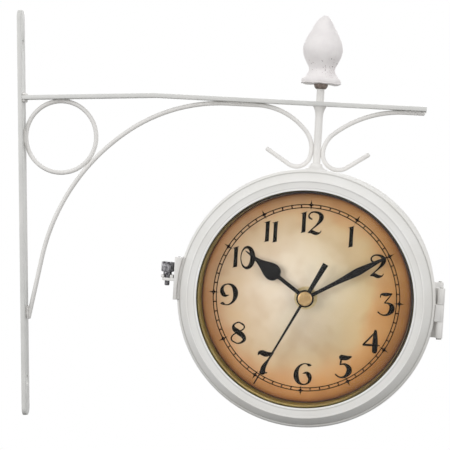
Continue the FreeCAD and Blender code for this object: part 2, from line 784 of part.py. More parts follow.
def latch_lug():
    """Plate on the bezel's bead with a threaded tab for the thumbscrew."""
    middle = size("latch_height")
    half = size("lug_length") / 2
    low = size("bead_back", 0.2)
    plate = block("lug_plate", ("-lug_outer", middle - half, low),
                  (-84.0, middle + half, low + size("lug_width")))
    seat = round_bar("lug_seat", "z", "bezel_radius", 0.0, 60.0, (0.0, 0.0))
    saddled = cut("lug_saddled", plate, seat)
    tab_low = middle - size("tab_thickness")
    centre = ("-latch_reach", "latch_depth")
    tab_end = round_bar("lug_tab_end", "y", "tab_radius", tab_low, middle, centre)
    tab = block("lug_tab", ("-latch_reach", tab_low, ("latch_depth", "-tab_radius")),
                (-84.0, middle, ("latch_depth", "tab_radius")))
    tab_seat = round_bar("lug_tab_seat", "z", "bezel_radius", 0.0, 60.0, (0.0, 0.0))
    shaped = cut("lug_tab_saddled", tab, tab_seat)
    bore = round_bar("lug_thread", "y", ("screw_radius", "running_gap"), -40.0, 40.0, centre)
    return cut("latch_lug", fuse("lug_joined", saddled, shaped, tab_end), bore)


def latch_fork():
    """Forked strap on the drum; the thumbscrew swings out of its open slot with the door."""
    low = size("latch_height", 0.1)
    high = low + size("tab_thickness")
    half = size("lug_length") / 2
    middle = size("latch_height")
    foot = block("fork_foot", ("-leaf_outer", middle - half, "leaf_back"),
                 (-80.0, middle + half, "leaf_front"))
    seat = round_bar("fork_seat", "z", "drum_radius", 0.0, 60.0, (0.0, 0.0))
    saddled = cut("fork_saddled", foot, seat)
    inner_edge = ("-lug_outer", -0.5)
    outer_edge = ("-latch_reach", "-tab_radius", -0.6)
    arm = block("fork_arm", (outer_edge, low, ("leaf_front", -4.0)), ("-drum_radius", high, "leaf_front"))
    prongs = block("fork_prongs", (outer_edge, low, ("leaf_front", -1.0)),
                   (inner_edge, high, ("latch_depth", 3.0)))
    centre = ("-latch_reach", "latch_depth")
    slot_end = round_bar("fork_slot_end", "y", "fork_slot", low - 1, high + 1, centre)
    slot = block("fork_slot", (("-latch_reach", "-fork_slot"), low - 1, "latch_depth"),
                 (("-latch_reach", "fork_slot"), high + 1, ("latch_depth", 10.0)))
    joined = fuse("fork_joined", saddled, arm, prongs)
    return cut("latch_fork", joined, bezel_room("fork_room"), slot_end, slot)


def thumbscrew():
    """Knurled thumbscrew with a collar under its head."""
    seat = size("latch_height", 0.2, "tab_thickness")
    centre = ("-latch_reach", "latch_depth")
    collar_top = seat + size("collar_height")
    thread = round_bar("screw_thread", "y", "screw_radius", "screw_low", collar_top, centre)
    collar = round_bar("screw_collar", "y", "collar_radius", seat, collar_top, centre)
    head = round_bar("screw_head", "y", "head_radius", collar_top, collar_top + size("head_height"), centre)
    return fuse("thumbscrew", thread, collar, head)


def mirrored(name, item):
    """The same piece on the other side of the bracket's plane."""
    twin = DOC.addObject("Part::Mirroring", f"{name}_twin")
    twin.Source = item
    twin.Base = Vector()
    twin.Normal = Vector(0, 1, 0)
    return twin


def grouped(name, items):
    """Like fasteners as one node of separate solids."""
    group = DOC.addObject("Part::Compound", name)
    group.Links = items
    return group


def door(side):
    """The pieces of one glazed door that are the same all round."""
    for build in (bezel_ring, door_glass, glass_retainer):
        node(f"{side}_{build.__name__}", build(), FACES[side])


def door_fittings():
    """Hinges away from the wall and latches towards it, the rear ones mirrored."""
    for build in (drum_hinge_leaf, door_hinge_leaf, latch_lug, latch_fork, thumbscrew):
        first = node(f"front_{build.__name__}", build(), FACES["front"])
        node(f"rear_{build.__name__}", mirrored(build.__name__, first))
    pin = hinge_pin()
    pin.Placement = FACES["front"]
    node("hinge_pins", grouped("hinge_pins", [pin, mirrored("hinge_pin", pin)]))


# ---------------------------------------------------------------- dial and movement
def dial_plate():
    """Printed sheet dial with a hole for the movement's bushing."""
    return ring("dial_plate", "bushing_radius", "dial_radius", "dial_back",
                ("dial_back", "dial_thickness"))


def spacer_ring():
    """Brass-coloured wall between dial and glass, with a flange on the drum's edge."""
    outer = ("spacer_inner", "spacer_wall")
    flange = ("drum_edge", "flange_thickness")
    return turned("spacer_ring", [
        ("spacer_inner", ("dial_back", "dial_thickness")),
        (outer, ("dial_back", "dial_thickness")),
        (outer, "drum_edge"),
        ("spacer_flange", "drum_edge"),
        ("spacer_flange", flange),
        (outer, flange),
        (outer, "spacer_front"),
        ("spacer_inner", "spacer_front"),
    ])


def movement_housing():
    """Square moulded housing, open behind, with a battery bay and a threaded bushing."""
    half = size("movement_side") / 2
    wall = size("movement_wall")
    back = "movement_back"
    shell = block("housing_block", (-half, -half, back), (half, half, "dial_back"))
    front_inside = size("dial_back") - wall
    works = block("housing_works", (-half + wall, size("bay_height") + wall, back),
                  (half - wall, half - wall, front_inside))
    bay = block("housing_bay", (-half + wall, -half + wall, back), (half - wall, "bay_height", front_inside))
    bushing = round_bar("housing_bushing", "z", "bushing_radius", "dial_back", "bushing_front", (0.0, 0.0))
    bore = round_bar("housing_bore", "z", "tube_bore", front_inside - 1, 40.0, (0.0, 0.0))
    return cut("movement_housing", fuse("housing_joined", shell, bushing), works, bay, bore)


def movement_cover():
    """Back cover over the gear compartment, with a hole for the setting arbor."""
    half = size("movement_side") / 2
    front = "movement_back"
    plate = block("cover_plate", (-half, "bay_height", (front, "-cover_thickness")), (half, half, front))
    hole = round_bar("cover_hole", "z", 0.85, 0.0, 20.0, (0.0, "-gear_distance"))
    return cut("movement_cover", plate, hole)


def bushing_nut():
    """Hexagon nut that clamps the dial to the movement."""
    low = ("dial_back", "dial_thickness", "dial_washer_thickness")
    return hex_nut("bushing_nut", "dial_nut_flats", "bushing_radius", low, "dial_nut_height")


def bushing_washer():
    """Flat washer between the dial and its nut."""
    low = ("dial_back", "dial_thickness")
    return ring("bushing_washer", "bushing_radius", "dial_washer", low, low + ("dial_washer_thickness",))


def battery():
    """Round cell lying across the bay, with its nub against the flat contact."""
    centre = ("battery_height", "battery_depth")
    nub_end = contact_face()
    can_end = nub_end - 1.2
    can = round_bar("battery_can", "x", "battery_radius", (can_end, "-battery_length"), can_end, centre)
    nub = round_bar("battery_nub", "x", 2.7, can_end, nub_end, centre)
    return fuse("battery", can, nub)


def contact_face():
    """How far sideways the inner faces of the contact strips stand."""
    return size("movement_side") / 2 - size("movement_wall") - 0.5


def battery_contacts():
    """A flat strip at one end of the bay and a strip with a spring at the other."""
    face = contact_face()
    low, high = size("battery_height") - 4, size("battery_height") + 4
    flat = block("contact_flat", (face, low, "movement_back"), (face + 0.5, high, 24.0))
    strip = block("contact_strip", (-face - 0.5, low, "movement_back"), (-face, high, 24.0))
    spring = round_bar("contact_spring", "x", 3.0, -face, (face - 1.2, "-battery_length"),
                       ("battery_height", "battery_depth"))
    return grouped("contact_pair", [flat, fuse("contact_sprung", strip, spring)])


def circuit_board():
    """Timing board with its coil and its can, beside the motion work."""
    wall = size("movement_side") / 2 - size("movement_wall")
    board = block("board", (-wall, 12.0, 22.0), (wall, 24.0, 23.2))
    coil = round_bar("coil", "x", 3.0, -18.0, 2.0, (18.0, 19.5))
    can = round_bar("crystal", "x", 1.5, 8.0, 16.0, (18.0, 21.0))
    return fuse("circuit_board", board, coil, can)


def gear_shape(teeth, module, low, thickness):
    """Spur gear with straight-flanked teeth and easy backlash, along Z, a tooth on +Y."""
    pitch = teeth * module / 2
    root = pitch - 1.15 * module
    tip = pitch + 0.75 * module
    step = 2 * math.pi / teeth
    corners = []
    for tooth in range(teeth):
        middle = math.pi / 2 + tooth * step
        for radius, share in ((root, -0.32), (tip, -0.10), (tip, 0.10), (root, 0.32)):
            turn = middle + share * step
            corners.append(Vector(radius * math.cos(turn), radius * math.sin(turn), low))
    corners.append(corners[0])
    return Part.Face(Part.makePolygon(corners)).extrude(Vector(0, 0, thickness))


def disc(radius, low, high, across=0.0, up=0.0):
    """A plain solid disc along Z."""
    return Part.makeCylinder(radius, high - low, Vector(across, up, low))


def solid_node(name, shape):
    """A piece whose shape is worked out here from the sheet's sizes."""
    item = DOC.addObject("Part::Feature", name)
    item.Shape = shape.removeSplitter()
    return item


MINUTE_MODULE = size("gear_distance") * 2 / (12 + 36)
HOUR_MODULE = size("gear_distance") * 2 / (10 + 40)


def hour_wheel():
    """Forty-tooth wheel with the tube that carries the hour hand."""
    bore = 1.6 + size("running_gap")
    tube = size("tube_bore", "-running_gap")
    front = size("hour_depth", "hand_thickness") + 0.6
    shape = gear_shape(40, HOUR_MODULE, 25.2, 0.8).fuse(disc(tube, 25.6, front))
    return solid_node("hour_wheel", shape.cut(disc(bore, 20, 40)))


def cannon_pinion():
    """Twelve-tooth pinion with the tube that carries the minute hand."""
    bore = 0.75 + size("running_gap")
    front = size("minute_depth", "hand_thickness") + 0.5
    shape = gear_shape(12, MINUTE_MODULE, 23.8, 0.8)
    shape = shape.fuse(disc(1.15, 23.4, 24.95)).fuse(disc(1.6, 24.95, front))
    return solid_node("cannon_pinion", shape.cut(disc(bore, 20, 40)))


def setting_wheel():
    """Minute wheel and pinion on one arbor with the knob that sets the hands from behind."""
    wheel = gear_shape(36, MINUTE_MODULE, 23.8, 0.8)
    wheel.rotate(Vector(), Vector(0, 0, 1), 180 / 36)
    pinion = gear_shape(10, HOUR_MODULE, 24.6, 1.6)
    pinion.rotate(Vector(), Vector(0, 0, 1), 180 / 10)
    arbor = disc(0.8, 9.0, 26.5)
    knob = disc(4.8, 6.4, 9.2)
    shape = wheel.fuse([pinion, arbor, knob])
    shape.translate(Vector(0, -size("gear_distance"), 0))
    return solid_node("setting_wheel", shape)


def seconds_arbor():
    """Thin arbor with its wheel, which carries the second hand through the cannon pinion."""
    shape = disc(0.75, 14.0, size("cap_front", -0.6)).fuse(gear_shape(30, 0.26, 18.0, 0.6))
    return solid_node("seconds_arbor", shape)


def flat_hand(name, corners, hub, bore, back):
    """A hand pointing up, cut from sheet, with a round hub and a bore."""
    thickness = size("hand_thickness")
    spots = [Vector(across, up, back) for across, up in corners]
    spots += [Vector(-across, up, back) for across, up in reversed(corners) if across]
    spots.append(spots[0])
    blade = Part.Face(Part.makePolygon(spots)).extrude(Vector(0, 0, thickness))
    shape = blade.fuse(disc(hub, back, back + thickness))
    return solid_node(name, shape.cut(disc(bore, back - 5, back + 5)))


def hour_hand():
    """Spade hand: a thin stem, a heart-shaped blade and a fine point."""
    tip = size("hour_length")
    corners = [(1.4, 2.0), (1.1, tip - 26), (2.2, tip - 24), (5.0, tip - 21), (5.6, tip - 18),
               (4.8, tip - 14.5), (2.6, tip - 10), (1.3, tip - 6), (0.0, tip)]
    return flat_hand("hour_hand", corners, 4.6, size("tube_bore", "-running_gap"), size("hour_depth"))


def minute_hand():
    """Leaf hand, widest a little past its middle."""
    tip = size("minute_length")
    corners = [(0.8, 2.0), (1.0, 16.0), (1.5, 28.0), (2.4, tip - 25), (2.2, tip - 20), (1.3, tip - 10),
               (0.5, tip - 3), (0.0, tip)]
    return flat_hand("minute_hand", corners, 4.0, 1.6, size("minute_depth"))


def second_hand():
    """Thin hand with a broad tail as its counterweight."""
    tail = size("second_tail")
    corners = [(1.5, -tail), (1.7, 5.0 - tail), (1.3, -5.0), (0.7, 4.0), (0.3, size("second_length"))]
    return flat_hand("second_hand", corners, size("hub_radius"), 0.75, size("second_depth"))


def hand_cap():
    """Brass cap over the middle of the hands."""
    low = size("second_depth", "hand_thickness")
    shape = disc(size("cap_radius"), low, size("cap_front", -0.5))
    shape = shape.fuse(disc(size("cap_radius") - 0.6, low, size("cap_front")))
    return solid_node("hand_cap", shape.cut(disc(0.75, 20, size("cap_front", -0.6))))


CLOCK_TURN = {"hour_hand": 304.9, "minute_hand": 59.5, "second_hand": 207.6}


def clockwise(degrees):
    """Turned clockwise, as the reader of the dial sees it."""
    return Placement(Vector(), Rotation(Vector(0, 0, 1), -degrees))


def clock_face(side):
    """One dial with its movement, motion work and hands."""
    face = FACES[side]
    for build in (dial_plate, spacer_ring, movement_housing, movement_cover, battery, circuit_board):
        node(f"{side}_{build.__name__}", build(), face)
    for build in (hour_wheel, cannon_pinion, setting_wheel, seconds_arbor, hand_cap):
        node(f"{side}_{build.__name__}", build(), face)
    for build in (hour_hand, minute_hand, second_hand):
        turn = clockwise(CLOCK_TURN[build.__name__])
        node(f"{side}_{build.__name__}", build(), face * turn)


def pairs_on_both_faces():
    """The dial nuts with their washers and the battery contacts, each kind grouped as one node."""
    kinds = {"bushing_nuts": (bushing_nut, bushing_washer), "battery_contacts": (battery_contacts,)}
    for name, builds in kinds.items():
        items = []
        for side in ("front", "rear"):
            for build in builds:
                item = build()
                item.Placement = FACES[side]
                items.append(item)
        node(name, grouped(name, items))


# ------------------------------------------------------------------ build and write
bracket()
drum()
for SIDE in ("front", "rear"):
    door(SIDE)
    clock_face(SIDE)
door_fittings()
pairs_on_both_faces()
DOC.recompute()

for item in DOC.Objects:
    assert "Invalid" not in item.State and "Error" not in item.State, f"{item.Name}: {item.State}"
for name, item in NODES.items():
    assert not item.Shape.isNull() and item.Shape.isValid(), f"{name} has no valid shape"
    assert len(item.Shape.Solids) >= 1, f"{name} has no solid"

os.makedirs("parts", exist_ok=True)
for name, item in NODES.items():
    item.Shape.exportStep(f"parts/{name}.step")
print(f"{len(NODES)} nodes written")
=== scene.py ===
"""Double-sided station clock on its wall bracket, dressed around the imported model.

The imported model's frame holds: metres, +X away from the wall, +Z up, dials facing -Y and +Y.
Outlines are written in millimetres in the piece's own frame and brought to metres once.
"""

import math

import bmesh
import bpy
from mathutils import Matrix, Vector, noise
from mathutils.geometry import tessellate_polygon


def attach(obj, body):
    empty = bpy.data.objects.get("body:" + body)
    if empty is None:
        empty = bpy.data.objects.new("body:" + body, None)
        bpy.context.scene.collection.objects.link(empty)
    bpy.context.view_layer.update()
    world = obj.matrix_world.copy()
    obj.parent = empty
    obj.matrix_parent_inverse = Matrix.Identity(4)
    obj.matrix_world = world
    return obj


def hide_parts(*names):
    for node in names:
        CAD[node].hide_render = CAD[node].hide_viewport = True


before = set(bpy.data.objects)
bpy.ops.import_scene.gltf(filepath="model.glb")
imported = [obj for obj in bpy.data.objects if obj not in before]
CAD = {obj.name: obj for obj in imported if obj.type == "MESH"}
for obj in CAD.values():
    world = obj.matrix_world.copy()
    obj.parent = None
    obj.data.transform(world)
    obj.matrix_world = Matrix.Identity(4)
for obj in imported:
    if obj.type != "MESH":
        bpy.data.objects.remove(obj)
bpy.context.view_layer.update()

# ---- wall bar and arm
# Two lengths of 12 x 3 mm flat steel strip welded into a corner, enamelled off-white.
# The bar has two slotted screw holes; the arm falls a little past its bend, as it was set.
SHARP = math.radians(32)
EASED_FROM = math.radians(38)
SAME_PLACE, SAME_PLANE = 0.000002, math.radians(1.0)
STRIP_EASE = 0.00045


def tone(code):
    """A colour as it looks on a screen, in the linear values that nodes take."""
    channels = [int(code[spot:spot + 2], 16) / 255 for spot in (0, 2, 4)]
    linear = [level / 12.92 if level <= 0.04045 else ((level + 0.055) / 1.055) ** 2.4 for level in channels]
    return (*linear, 1.0)


def put(tree, kind, inputs=None, **settings):
    """One node in a tree; an input takes a value, an output, or a node for its first output."""
    node = tree.nodes.new(kind)
    for field, value in settings.items():
        setattr(node, field, value)
    for socket, value in (inputs or {}).items():
        if isinstance(value, bpy.types.Node):
            value = value.outputs[0]
        if isinstance(value, bpy.types.NodeSocket):
            tree.links.new(value, node.inputs[socket])
        else:
            node.inputs[socket].default_value = value
    return node


def ramp(tree, feed, stops):
    """A colour that follows a value through (position, screen colour) stops."""
    node = put(tree, "ShaderNodeValToRGB", {"Fac": feed})
    band = node.color_ramp.elements
    while len(band) < len(stops):
        band.new(0.5)
    for element, (spot, code) in zip(band, stops):
        element.position = spot
        element.color = tone(code)
    return node.outputs["Color"]


def between(tree, feed, low, high, start, end):
    """A value that runs from low to high as its feed runs from start to end."""
    node = put(tree, "ShaderNodeMapRange", {"Value": feed, "From Min": start, "From Max": end,
                                            "To Min": low, "To Max": high})
    return node.outputs["Result"]


def cloud(tree, spot, scale, detail=4.0):
    """Soft noise over the surface; the scale is in clouds to the metre."""
    node = put(tree, "ShaderNodeTexNoise", {"Vector": spot, "Scale": scale, "Detail": detail})
    return node.outputs["Fac"]


def new_material(name):
    """A new material, its tree and its shader."""
    material = bpy.data.materials.new(name)
    material.use_nodes = True
    return material, material.node_tree, material.node_tree.nodes["Principled BSDF"]


def finish(name, stops, patch, rough, grain, depth, **sockets):
    """A surface whose colour drifts in patches, with uneven gloss and a fine grain."""
    material, tree, shader = new_material(name)
    spot = put(tree, "ShaderNodeTexCoord").outputs["Object"]
    tree.links.new(ramp(tree, cloud(tree, spot, patch), stops), shader.inputs["Base Color"])
    tree.links.new(between(tree, cloud(tree, spot, patch * 5), *rough, 0.3, 0.7), shader.inputs["Roughness"])
    bump = put(tree, "ShaderNodeBump", {"Height": cloud(tree, spot, grain, 3.0), "Distance": depth})
    tree.links.new(bump.outputs["Normal"], shader.inputs["Normal"])
    for socket, value in sockets.items():
        shader.inputs[socket.replace("_", " ")].default_value = value
    return material


def linked(name, data):
    """A new object in the scene, at the origin."""
    obj = bpy.data.objects.new(name, data)
    bpy.context.scene.collection.objects.link(obj)
    return obj


def applied(name, data, modifiers):
    """A mesh with modifiers worked in; each is (kind, settings)."""
    obj = linked(name, data)
    for kind, settings in modifiers:
        modifier = obj.modifiers.new(kind, kind)
        for field, value in settings.items():
            if field.startswith("Socket_"):
                modifier[field] = value
            else:
                setattr(modifier, field, value)
    graph = bpy.context.evaluated_depsgraph_get()
    mesh = bpy.data.meshes.new_from_object(obj.evaluated_get(graph), depsgraph=graph)
    bpy.data.objects.remove(obj)
    mesh.name = name
    return mesh


def eased(name, mesh, width, segments=2):
    """The mesh with its sharp edges rounded over a width."""
    bevel = {"width": width, "segments": segments, "limit_method": "ANGLE", "angle_limit": EASED_FROM}
    mesh = applied(name, mesh, [("BEVEL", bevel)])
    mesh.shade_smooth()
    mesh.set_sharp_from_angle(angle=SHARP)
    return mesh


def cad_copy(name):
    """A CAD node's triangles, merged and joined into flat faces."""
    bm = bmesh.new()
    bm.from_mesh(CAD[name].data)
    bmesh.ops.remove_doubles(bm, verts=bm.verts, dist=SAME_PLACE)
    bmesh.ops.dissolve_limit(bm, angle_limit=SAME_PLANE, verts=bm.verts, edges=bm.edges)
    mesh = bpy.data.meshes.new(name)
    bm.to_mesh(mesh)
    bm.free()
    if "custom_normal" in mesh.attributes:
        mesh.attributes.remove(mesh.attributes["custom_normal"])
    return mesh


def fit(name, mesh, material, body, slot, *nodes):
    """One finished piece: painted, riding on its body, standing for its CAD nodes."""
    obj = linked(name, mesh)
    mesh.materials.clear()
    mesh.materials.append(material)
    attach(obj, body)
    if nodes:
        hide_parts(*nodes)


# The strips take a darker copy of the bracket's enamel: painted shade on the same off-white paint.
shaded_strip_paint = finish("shaded_strip_enamel", [(0.25, "D6D6D3"), (0.5, "DEDEDB"), (0.75, "E3E2DF")],
                     patch=45.0, rough=(0.34, 0.50), grain=900.0, depth=0.00005)
for strip in ("wall_bar", "top_arm"):
    fit(f"{strip}_strip", eased(strip, cad_copy(strip), STRIP_EASE), shaded_strip_paint, "bracket", "bracket_paint", strip)

# ---- brace rod, scrolls and corner ring
# Round steel rod of 3.2 mm bent cold: the brace with its inner scroll, the outer scroll and
# the ring in the corner. Their cut ends are blunt, rounded by the thick enamel.
MM = 0.001
LEAN = math.radians(3.8)
ARM_BEND = Matrix.Translation((0.100, 0.0, 0.0843)) @ Matrix.Rotation(LEAN, 4, "Y")
HUNG = ARM_BEND @ Matrix.Translation((0.1193, 0.0, -0.1367))
ROD_RADIUS = 1.6
BAR_FACE, FOOT_BITE = 3.0, 0.12
UNDER_ARM = 133.72
BRACE_TOP, OUTER_TOP = (-66.0, UNDER_ARM), (74.7, UNDER_ARM)
BRACE_ARCS = [(120.0, 36.0), (150.0, 44.4)]
INNER_SCROLL = [(21.0, 0), (47.4, -50.0), (19.6, -57.3), (10.0, -104.8), (19.7, 0)]
OUTER_SCROLL = [(14.0, 0), (77.8, 39.6), (19.3, 45.1), (11.3, 129.3), (18.8, 0)]
RING_CENTRE, RING_RADIUS, RING_POINTS = (30.48, 55.32), 26.0, 120
END_STEPS = [(0.0, 0.55), (0.25, 0.8), (0.7, 0.95), (1.4, 1.0)]  # (way from a cut end, share of the radius)
PAINT_STOPS = [(0.25, "E6E4E1"), (0.5, "ECEAE7"), (0.75, "F0EEEB")]
bracket_paint = finish("bracket_enamel", PAINT_STOPS, patch=60.0, rough=(0.34, 0.50), grain=900.0, depth=0.00005)


def new_tree(name, sizes):
    """A Geometry Nodes tree with an input named for each size; gives the tree and its inputs."""
    tree = bpy.data.node_groups.new(name, "GeometryNodeTree")
    kinds = {float: "Float", int: "Int"}
    tree.interface.new_socket("Geometry", in_out="INPUT", socket_type="NodeSocketGeometry")
    for label, value in sizes.items():
        kind = kinds.get(type(value), "Material")
        tree.interface.new_socket(label, in_out="INPUT", socket_type=f"NodeSocket{kind}")
    tree.interface.new_socket("Geometry", in_out="OUTPUT", socket_type="NodeSocketGeometry")
    return tree, put(tree, "NodeGroupInput").outputs


def end_tree(tree, geometry, material):
    """Close the tree: real geometry, smooth, in its material."""
    smooth = put(tree, "GeometryNodeSetShadeSmooth", {"Geometry": geometry})
    real = put(tree, "GeometryNodeRealizeInstances", {"Geometry": smooth})
    painted = put(tree, "GeometryNodeSetMaterial", {"Geometry": real, "Material": material})
    put(tree, "NodeGroupOutput", {"Geometry": painted})


def grown(tree, sizes):
    """The modifier that runs a tree, each input set by its socket's identifier."""
    settings = {"node_group": tree}
    for item in tree.interface.items_tree:
        if item.in_out == "INPUT" and item.name in sizes:
            settings[item.identifier] = sizes[item.name]
    return "NODES", settings


def path_curve(name, lines, closed=False):
    """A curve of straight-jointed lines, each of (point, relative radius)."""
    curve = bpy.data.curves.new(name, "CURVE")
    curve.dimensions = "3D"
    for line in lines:
        spline = curve.splines.new("POLY")
        spline.points.add(len(line) - 1)
        for point, (spot, radius) in zip(spline.points, line):
            point.co = (*spot, 1.0)
            point.radius = radius
        spline.use_cyclic_u = closed
    return curve


def hung(x, y, z):
    """A place in metres, from millimetres in the leaned frame of the post and the drum."""
    return HUNG @ (Vector((x, y, z)) * MM)


def bends(start, heading, steps):
    """Points a millimetre apart on runs (length, 0) and arcs (radius, turn), and the last heading."""
    across, up = start
    angle = math.radians(heading)
    line = [(across, up)]
    for reach, turn in steps:
        swing = math.radians(turn)
        length = reach if turn == 0 else abs(swing) * reach
        count = max(2, round(length))
        for number in range(1, count + 1):
            share = number / count
            if turn == 0:
                line.append((across + math.cos(angle) * reach * share, up + math.sin(angle) * reach * share))
            else:
                side = math.copysign(reach, turn)
                after = angle + swing * share
                line.append((across + side * (math.sin(after) - math.sin(angle)),
                             up - side * (math.cos(after) - math.cos(angle))))
        across, up = line[-1]
        angle += swing
    return line, math.degrees(angle)


def rod_line(line):
    """The rod's centre line in metres, thinned over its last millimetre at both ends."""
    gone = [0.0]
    for before, after in zip(line, line[1:]):
        gone.append(gone[-1] + math.dist(before, after))
    whole = gone[-1]
    spots = sorted({*gone[1:-1], *(step for step, _ in END_STEPS), *(whole - step for step, _ in END_STEPS)})
    shaped, number = [], 0
    for spot in spots:
        while number < len(gone) - 2 and gone[number + 1] < spot:
            number += 1
        share = (spot - gone[number]) / (gone[number + 1] - gone[number])
        (x0, z0), (x1, z1) = line[number], line[number + 1]
        edge = min(spot, whole - spot)
        radius = 1.0
        for (low, thin), (high, thick) in zip(END_STEPS, END_STEPS[1:]):
            if low <= edge < high:
                radius = thin + (thick - thin) * (edge - low) / (high - low)
        shaped.append((hung(x0 + (x1 - x0) * share, 0.0, z0 + (z1 - z0) * share), radius))
    return shaped


rod_sizes = {"Rod radius": ROD_RADIUS * MM, "Facets": 24, "Paint": bracket_paint}
tree, feed = new_tree("round_rod", rod_sizes)
section = put(tree, "GeometryNodeCurvePrimitiveCircle", {"Resolution": feed["Facets"], "Radius": feed["Rod radius"]})
swept = put(tree, "GeometryNodeCurveToMesh", {
    "Curve": feed["Geometry"], "Profile Curve": section, "Scale": put(tree, "GeometryNodeInputRadius"),
    "Fill Caps": True})
end_tree(tree, swept, feed["Paint"])

arcs, slope = bends(BRACE_TOP, 180.0, BRACE_ARCS)
arcs_end = hung(arcs[-1][0], 0.0, arcs[-1][1]).x / MM
foot_run = (BAR_FACE + ROD_RADIUS - FOOT_BITE - arcs_end) / math.cos(math.radians(slope) - LEAN)
rise, _ = bends(BRACE_TOP, 180.0, [*BRACE_ARCS, (foot_run, 0)])
curl, _ = bends(BRACE_TOP, 0.0, INNER_SCROLL)
outer, _ = bends(OUTER_TOP, 180.0, OUTER_SCROLL)
ring = []
for number in range(RING_POINTS):
    turn = math.tau * number / RING_POINTS
    ring.append((Vector((RING_CENTRE[0] + RING_RADIUS * math.cos(turn), 0.0,
                         RING_CENTRE[1] + RING_RADIUS * math.sin(turn))) * MM, 1.0))
RODS = {"brace_rod": (rod_line(rise[::-1] + curl[1:]), False), "outer_scroll": (rod_line(outer), False),
        "corner_ring": (ring, True)}
for rod, (line, closed) in RODS.items():
    mesh = applied(f"{rod}_bent", path_curve(rod, [line], closed), [grown(tree, rod_sizes)])
    fit(f"{rod}_bent", mesh, bracket_paint, "bracket", "bracket_paint", rod)

# ---- weld fillets
# Short runs of weld where strip, rod and post meet, lumpy under the enamel. Each run is a
# row of beads melted into one skin.
WELD_BEADS = {"Pitch": 0.0011, "Unevenness": 0.3, "Seed": 7, "Paint": bracket_paint}
RUN_POINTS = 7
ARM_WELDS = [86.6, 82.0]  # above and below the arm's root
foot = hung(rise[-1][0], 0.0, rise[-1][1]) * (1 / MM)
# On both sides of a rod: (its two ends as (x, z), how far aside, bead radius).
BRACKET_RUNS = [((25.0, 81.9), (36.5, 81.9), 1.0, 1.3), ((3.8, 49.5), (3.8, 61.0), 1.0, 1.3),
                ((3.8, foot.z + 1.0), (3.8, foot.z + 9.0), 1.2, 1.4)]
HUNG_RUNS = [((-69.0, 134.6), (-46.0, 134.6), 1.0, 1.3), ((60.0, 134.6), (75.2, 134.6), 1.0, 1.35)]
POST_WELD_RADIUS, POST_WELD_HEIGHT, POST_BEAD = 3.4, 134.4, 1.3


def reckon(tree, operation, *values):
    """A sum on numbers by one node."""
    return put(tree, "ShaderNodeMath", dict(enumerate(values)), operation=operation).outputs[0]


def set_on(tree, points, piece, **how):
    """A piece set on every point."""
    return put(tree, "GeometryNodeInstanceOnPoints", {"Points": points, "Instance": piece, **how})


weld_tree, feed = new_tree("weld_beads", WELD_BEADS)
along = put(weld_tree, "GeometryNodeCurveToPoints", {"Curve": feed["Geometry"], "Length": feed["Pitch"]},
            mode="LENGTH")
bead = put(weld_tree, "GeometryNodeMeshUVSphere", {"Segments": 14, "Rings": 9, "Radius": 1.0})
least = reckon(weld_tree, "SUBTRACT", 1.0, feed["Unevenness"])
swell = put(weld_tree, "FunctionNodeRandomValue", {2: least, 3: 1.0, "Seed": feed["Seed"]}).outputs[1]
size = reckon(weld_tree, "MULTIPLY", put(weld_tree, "GeometryNodeInputRadius"), swell)
end_tree(weld_tree, set_on(weld_tree, along, bead, Scale=size), feed["Paint"])


def row(start, end, radius):
    """A weld run from millimetres, fuller in its middle."""
    spots = []
    for number in range(RUN_POINTS):
        share = number / (RUN_POINTS - 1)
        spot = Vector(start).lerp(Vector(end), share) * MM
        spots.append((spot, radius * MM * (0.6 + 0.4 * math.sin(math.pi * share))))
    return spots


def welded(name, runs, beads, voxel, passes):
    """Weld runs as one skin: beads along every run, melted together and smoothed."""
    return applied(name, path_curve(f"{name}_runs", runs), [
        grown(weld_tree, beads),
        ("REMESH", {"mode": "VOXEL", "voxel_size": voxel, "use_smooth_shade": True}),
        ("SMOOTH", {"factor": 0.5, "iterations": passes}),
    ])


runs = [row((3.9, -5.0, height), (3.9, 5.0, height), 1.7) for height in ARM_WELDS]
for frame_runs, place in ((BRACKET_RUNS, Matrix()), (HUNG_RUNS, HUNG)):
    for (x0, z0), (x1, z1), aside, radius in frame_runs:
        for y in (-aside, aside):
            runs.append([(place @ spot, size) for spot, size in row((x0, y, z0), (x1, y, z1), radius)])
collar = []
for number in range(17):
    turn = math.tau * number / 16
    collar.append((hung(POST_WELD_RADIUS * math.cos(turn), POST_WELD_RADIUS * math.sin(turn), POST_WELD_HEIGHT),
                   POST_BEAD * MM))
runs.append(collar)
fit("weld_fillets", welded("weld_fillets", runs, WELD_BEADS, 0.00028, 3), bracket_paint, "bracket",
    "bracket_paint")

# ---- hanger post, washer, nut and pad
# Round steel rod through the arm, welded under it, threaded below where the nut and the
# washer carry the drum on its pad. Nut, washer and pad are zinc plated.
zinc = finish("zinc_plate", [(0.3, "8F8E8A"), (0.7, "B2B0AA")], patch=220.0, rough=(0.28, 0.5), grain=2600.0,
              depth=0.00003, Metallic=1.0)


def dress(names, material):
    """Give CAD nodes whose shape is right their finish."""
    for name in names:
        mesh = CAD[name].data
        mesh.materials.clear()
        mesh.materials.append(material)


dress(["hanger_post"], bracket_paint)
dress(["post_washer", "post_lock_nut", "hanger_pad"], zinc)

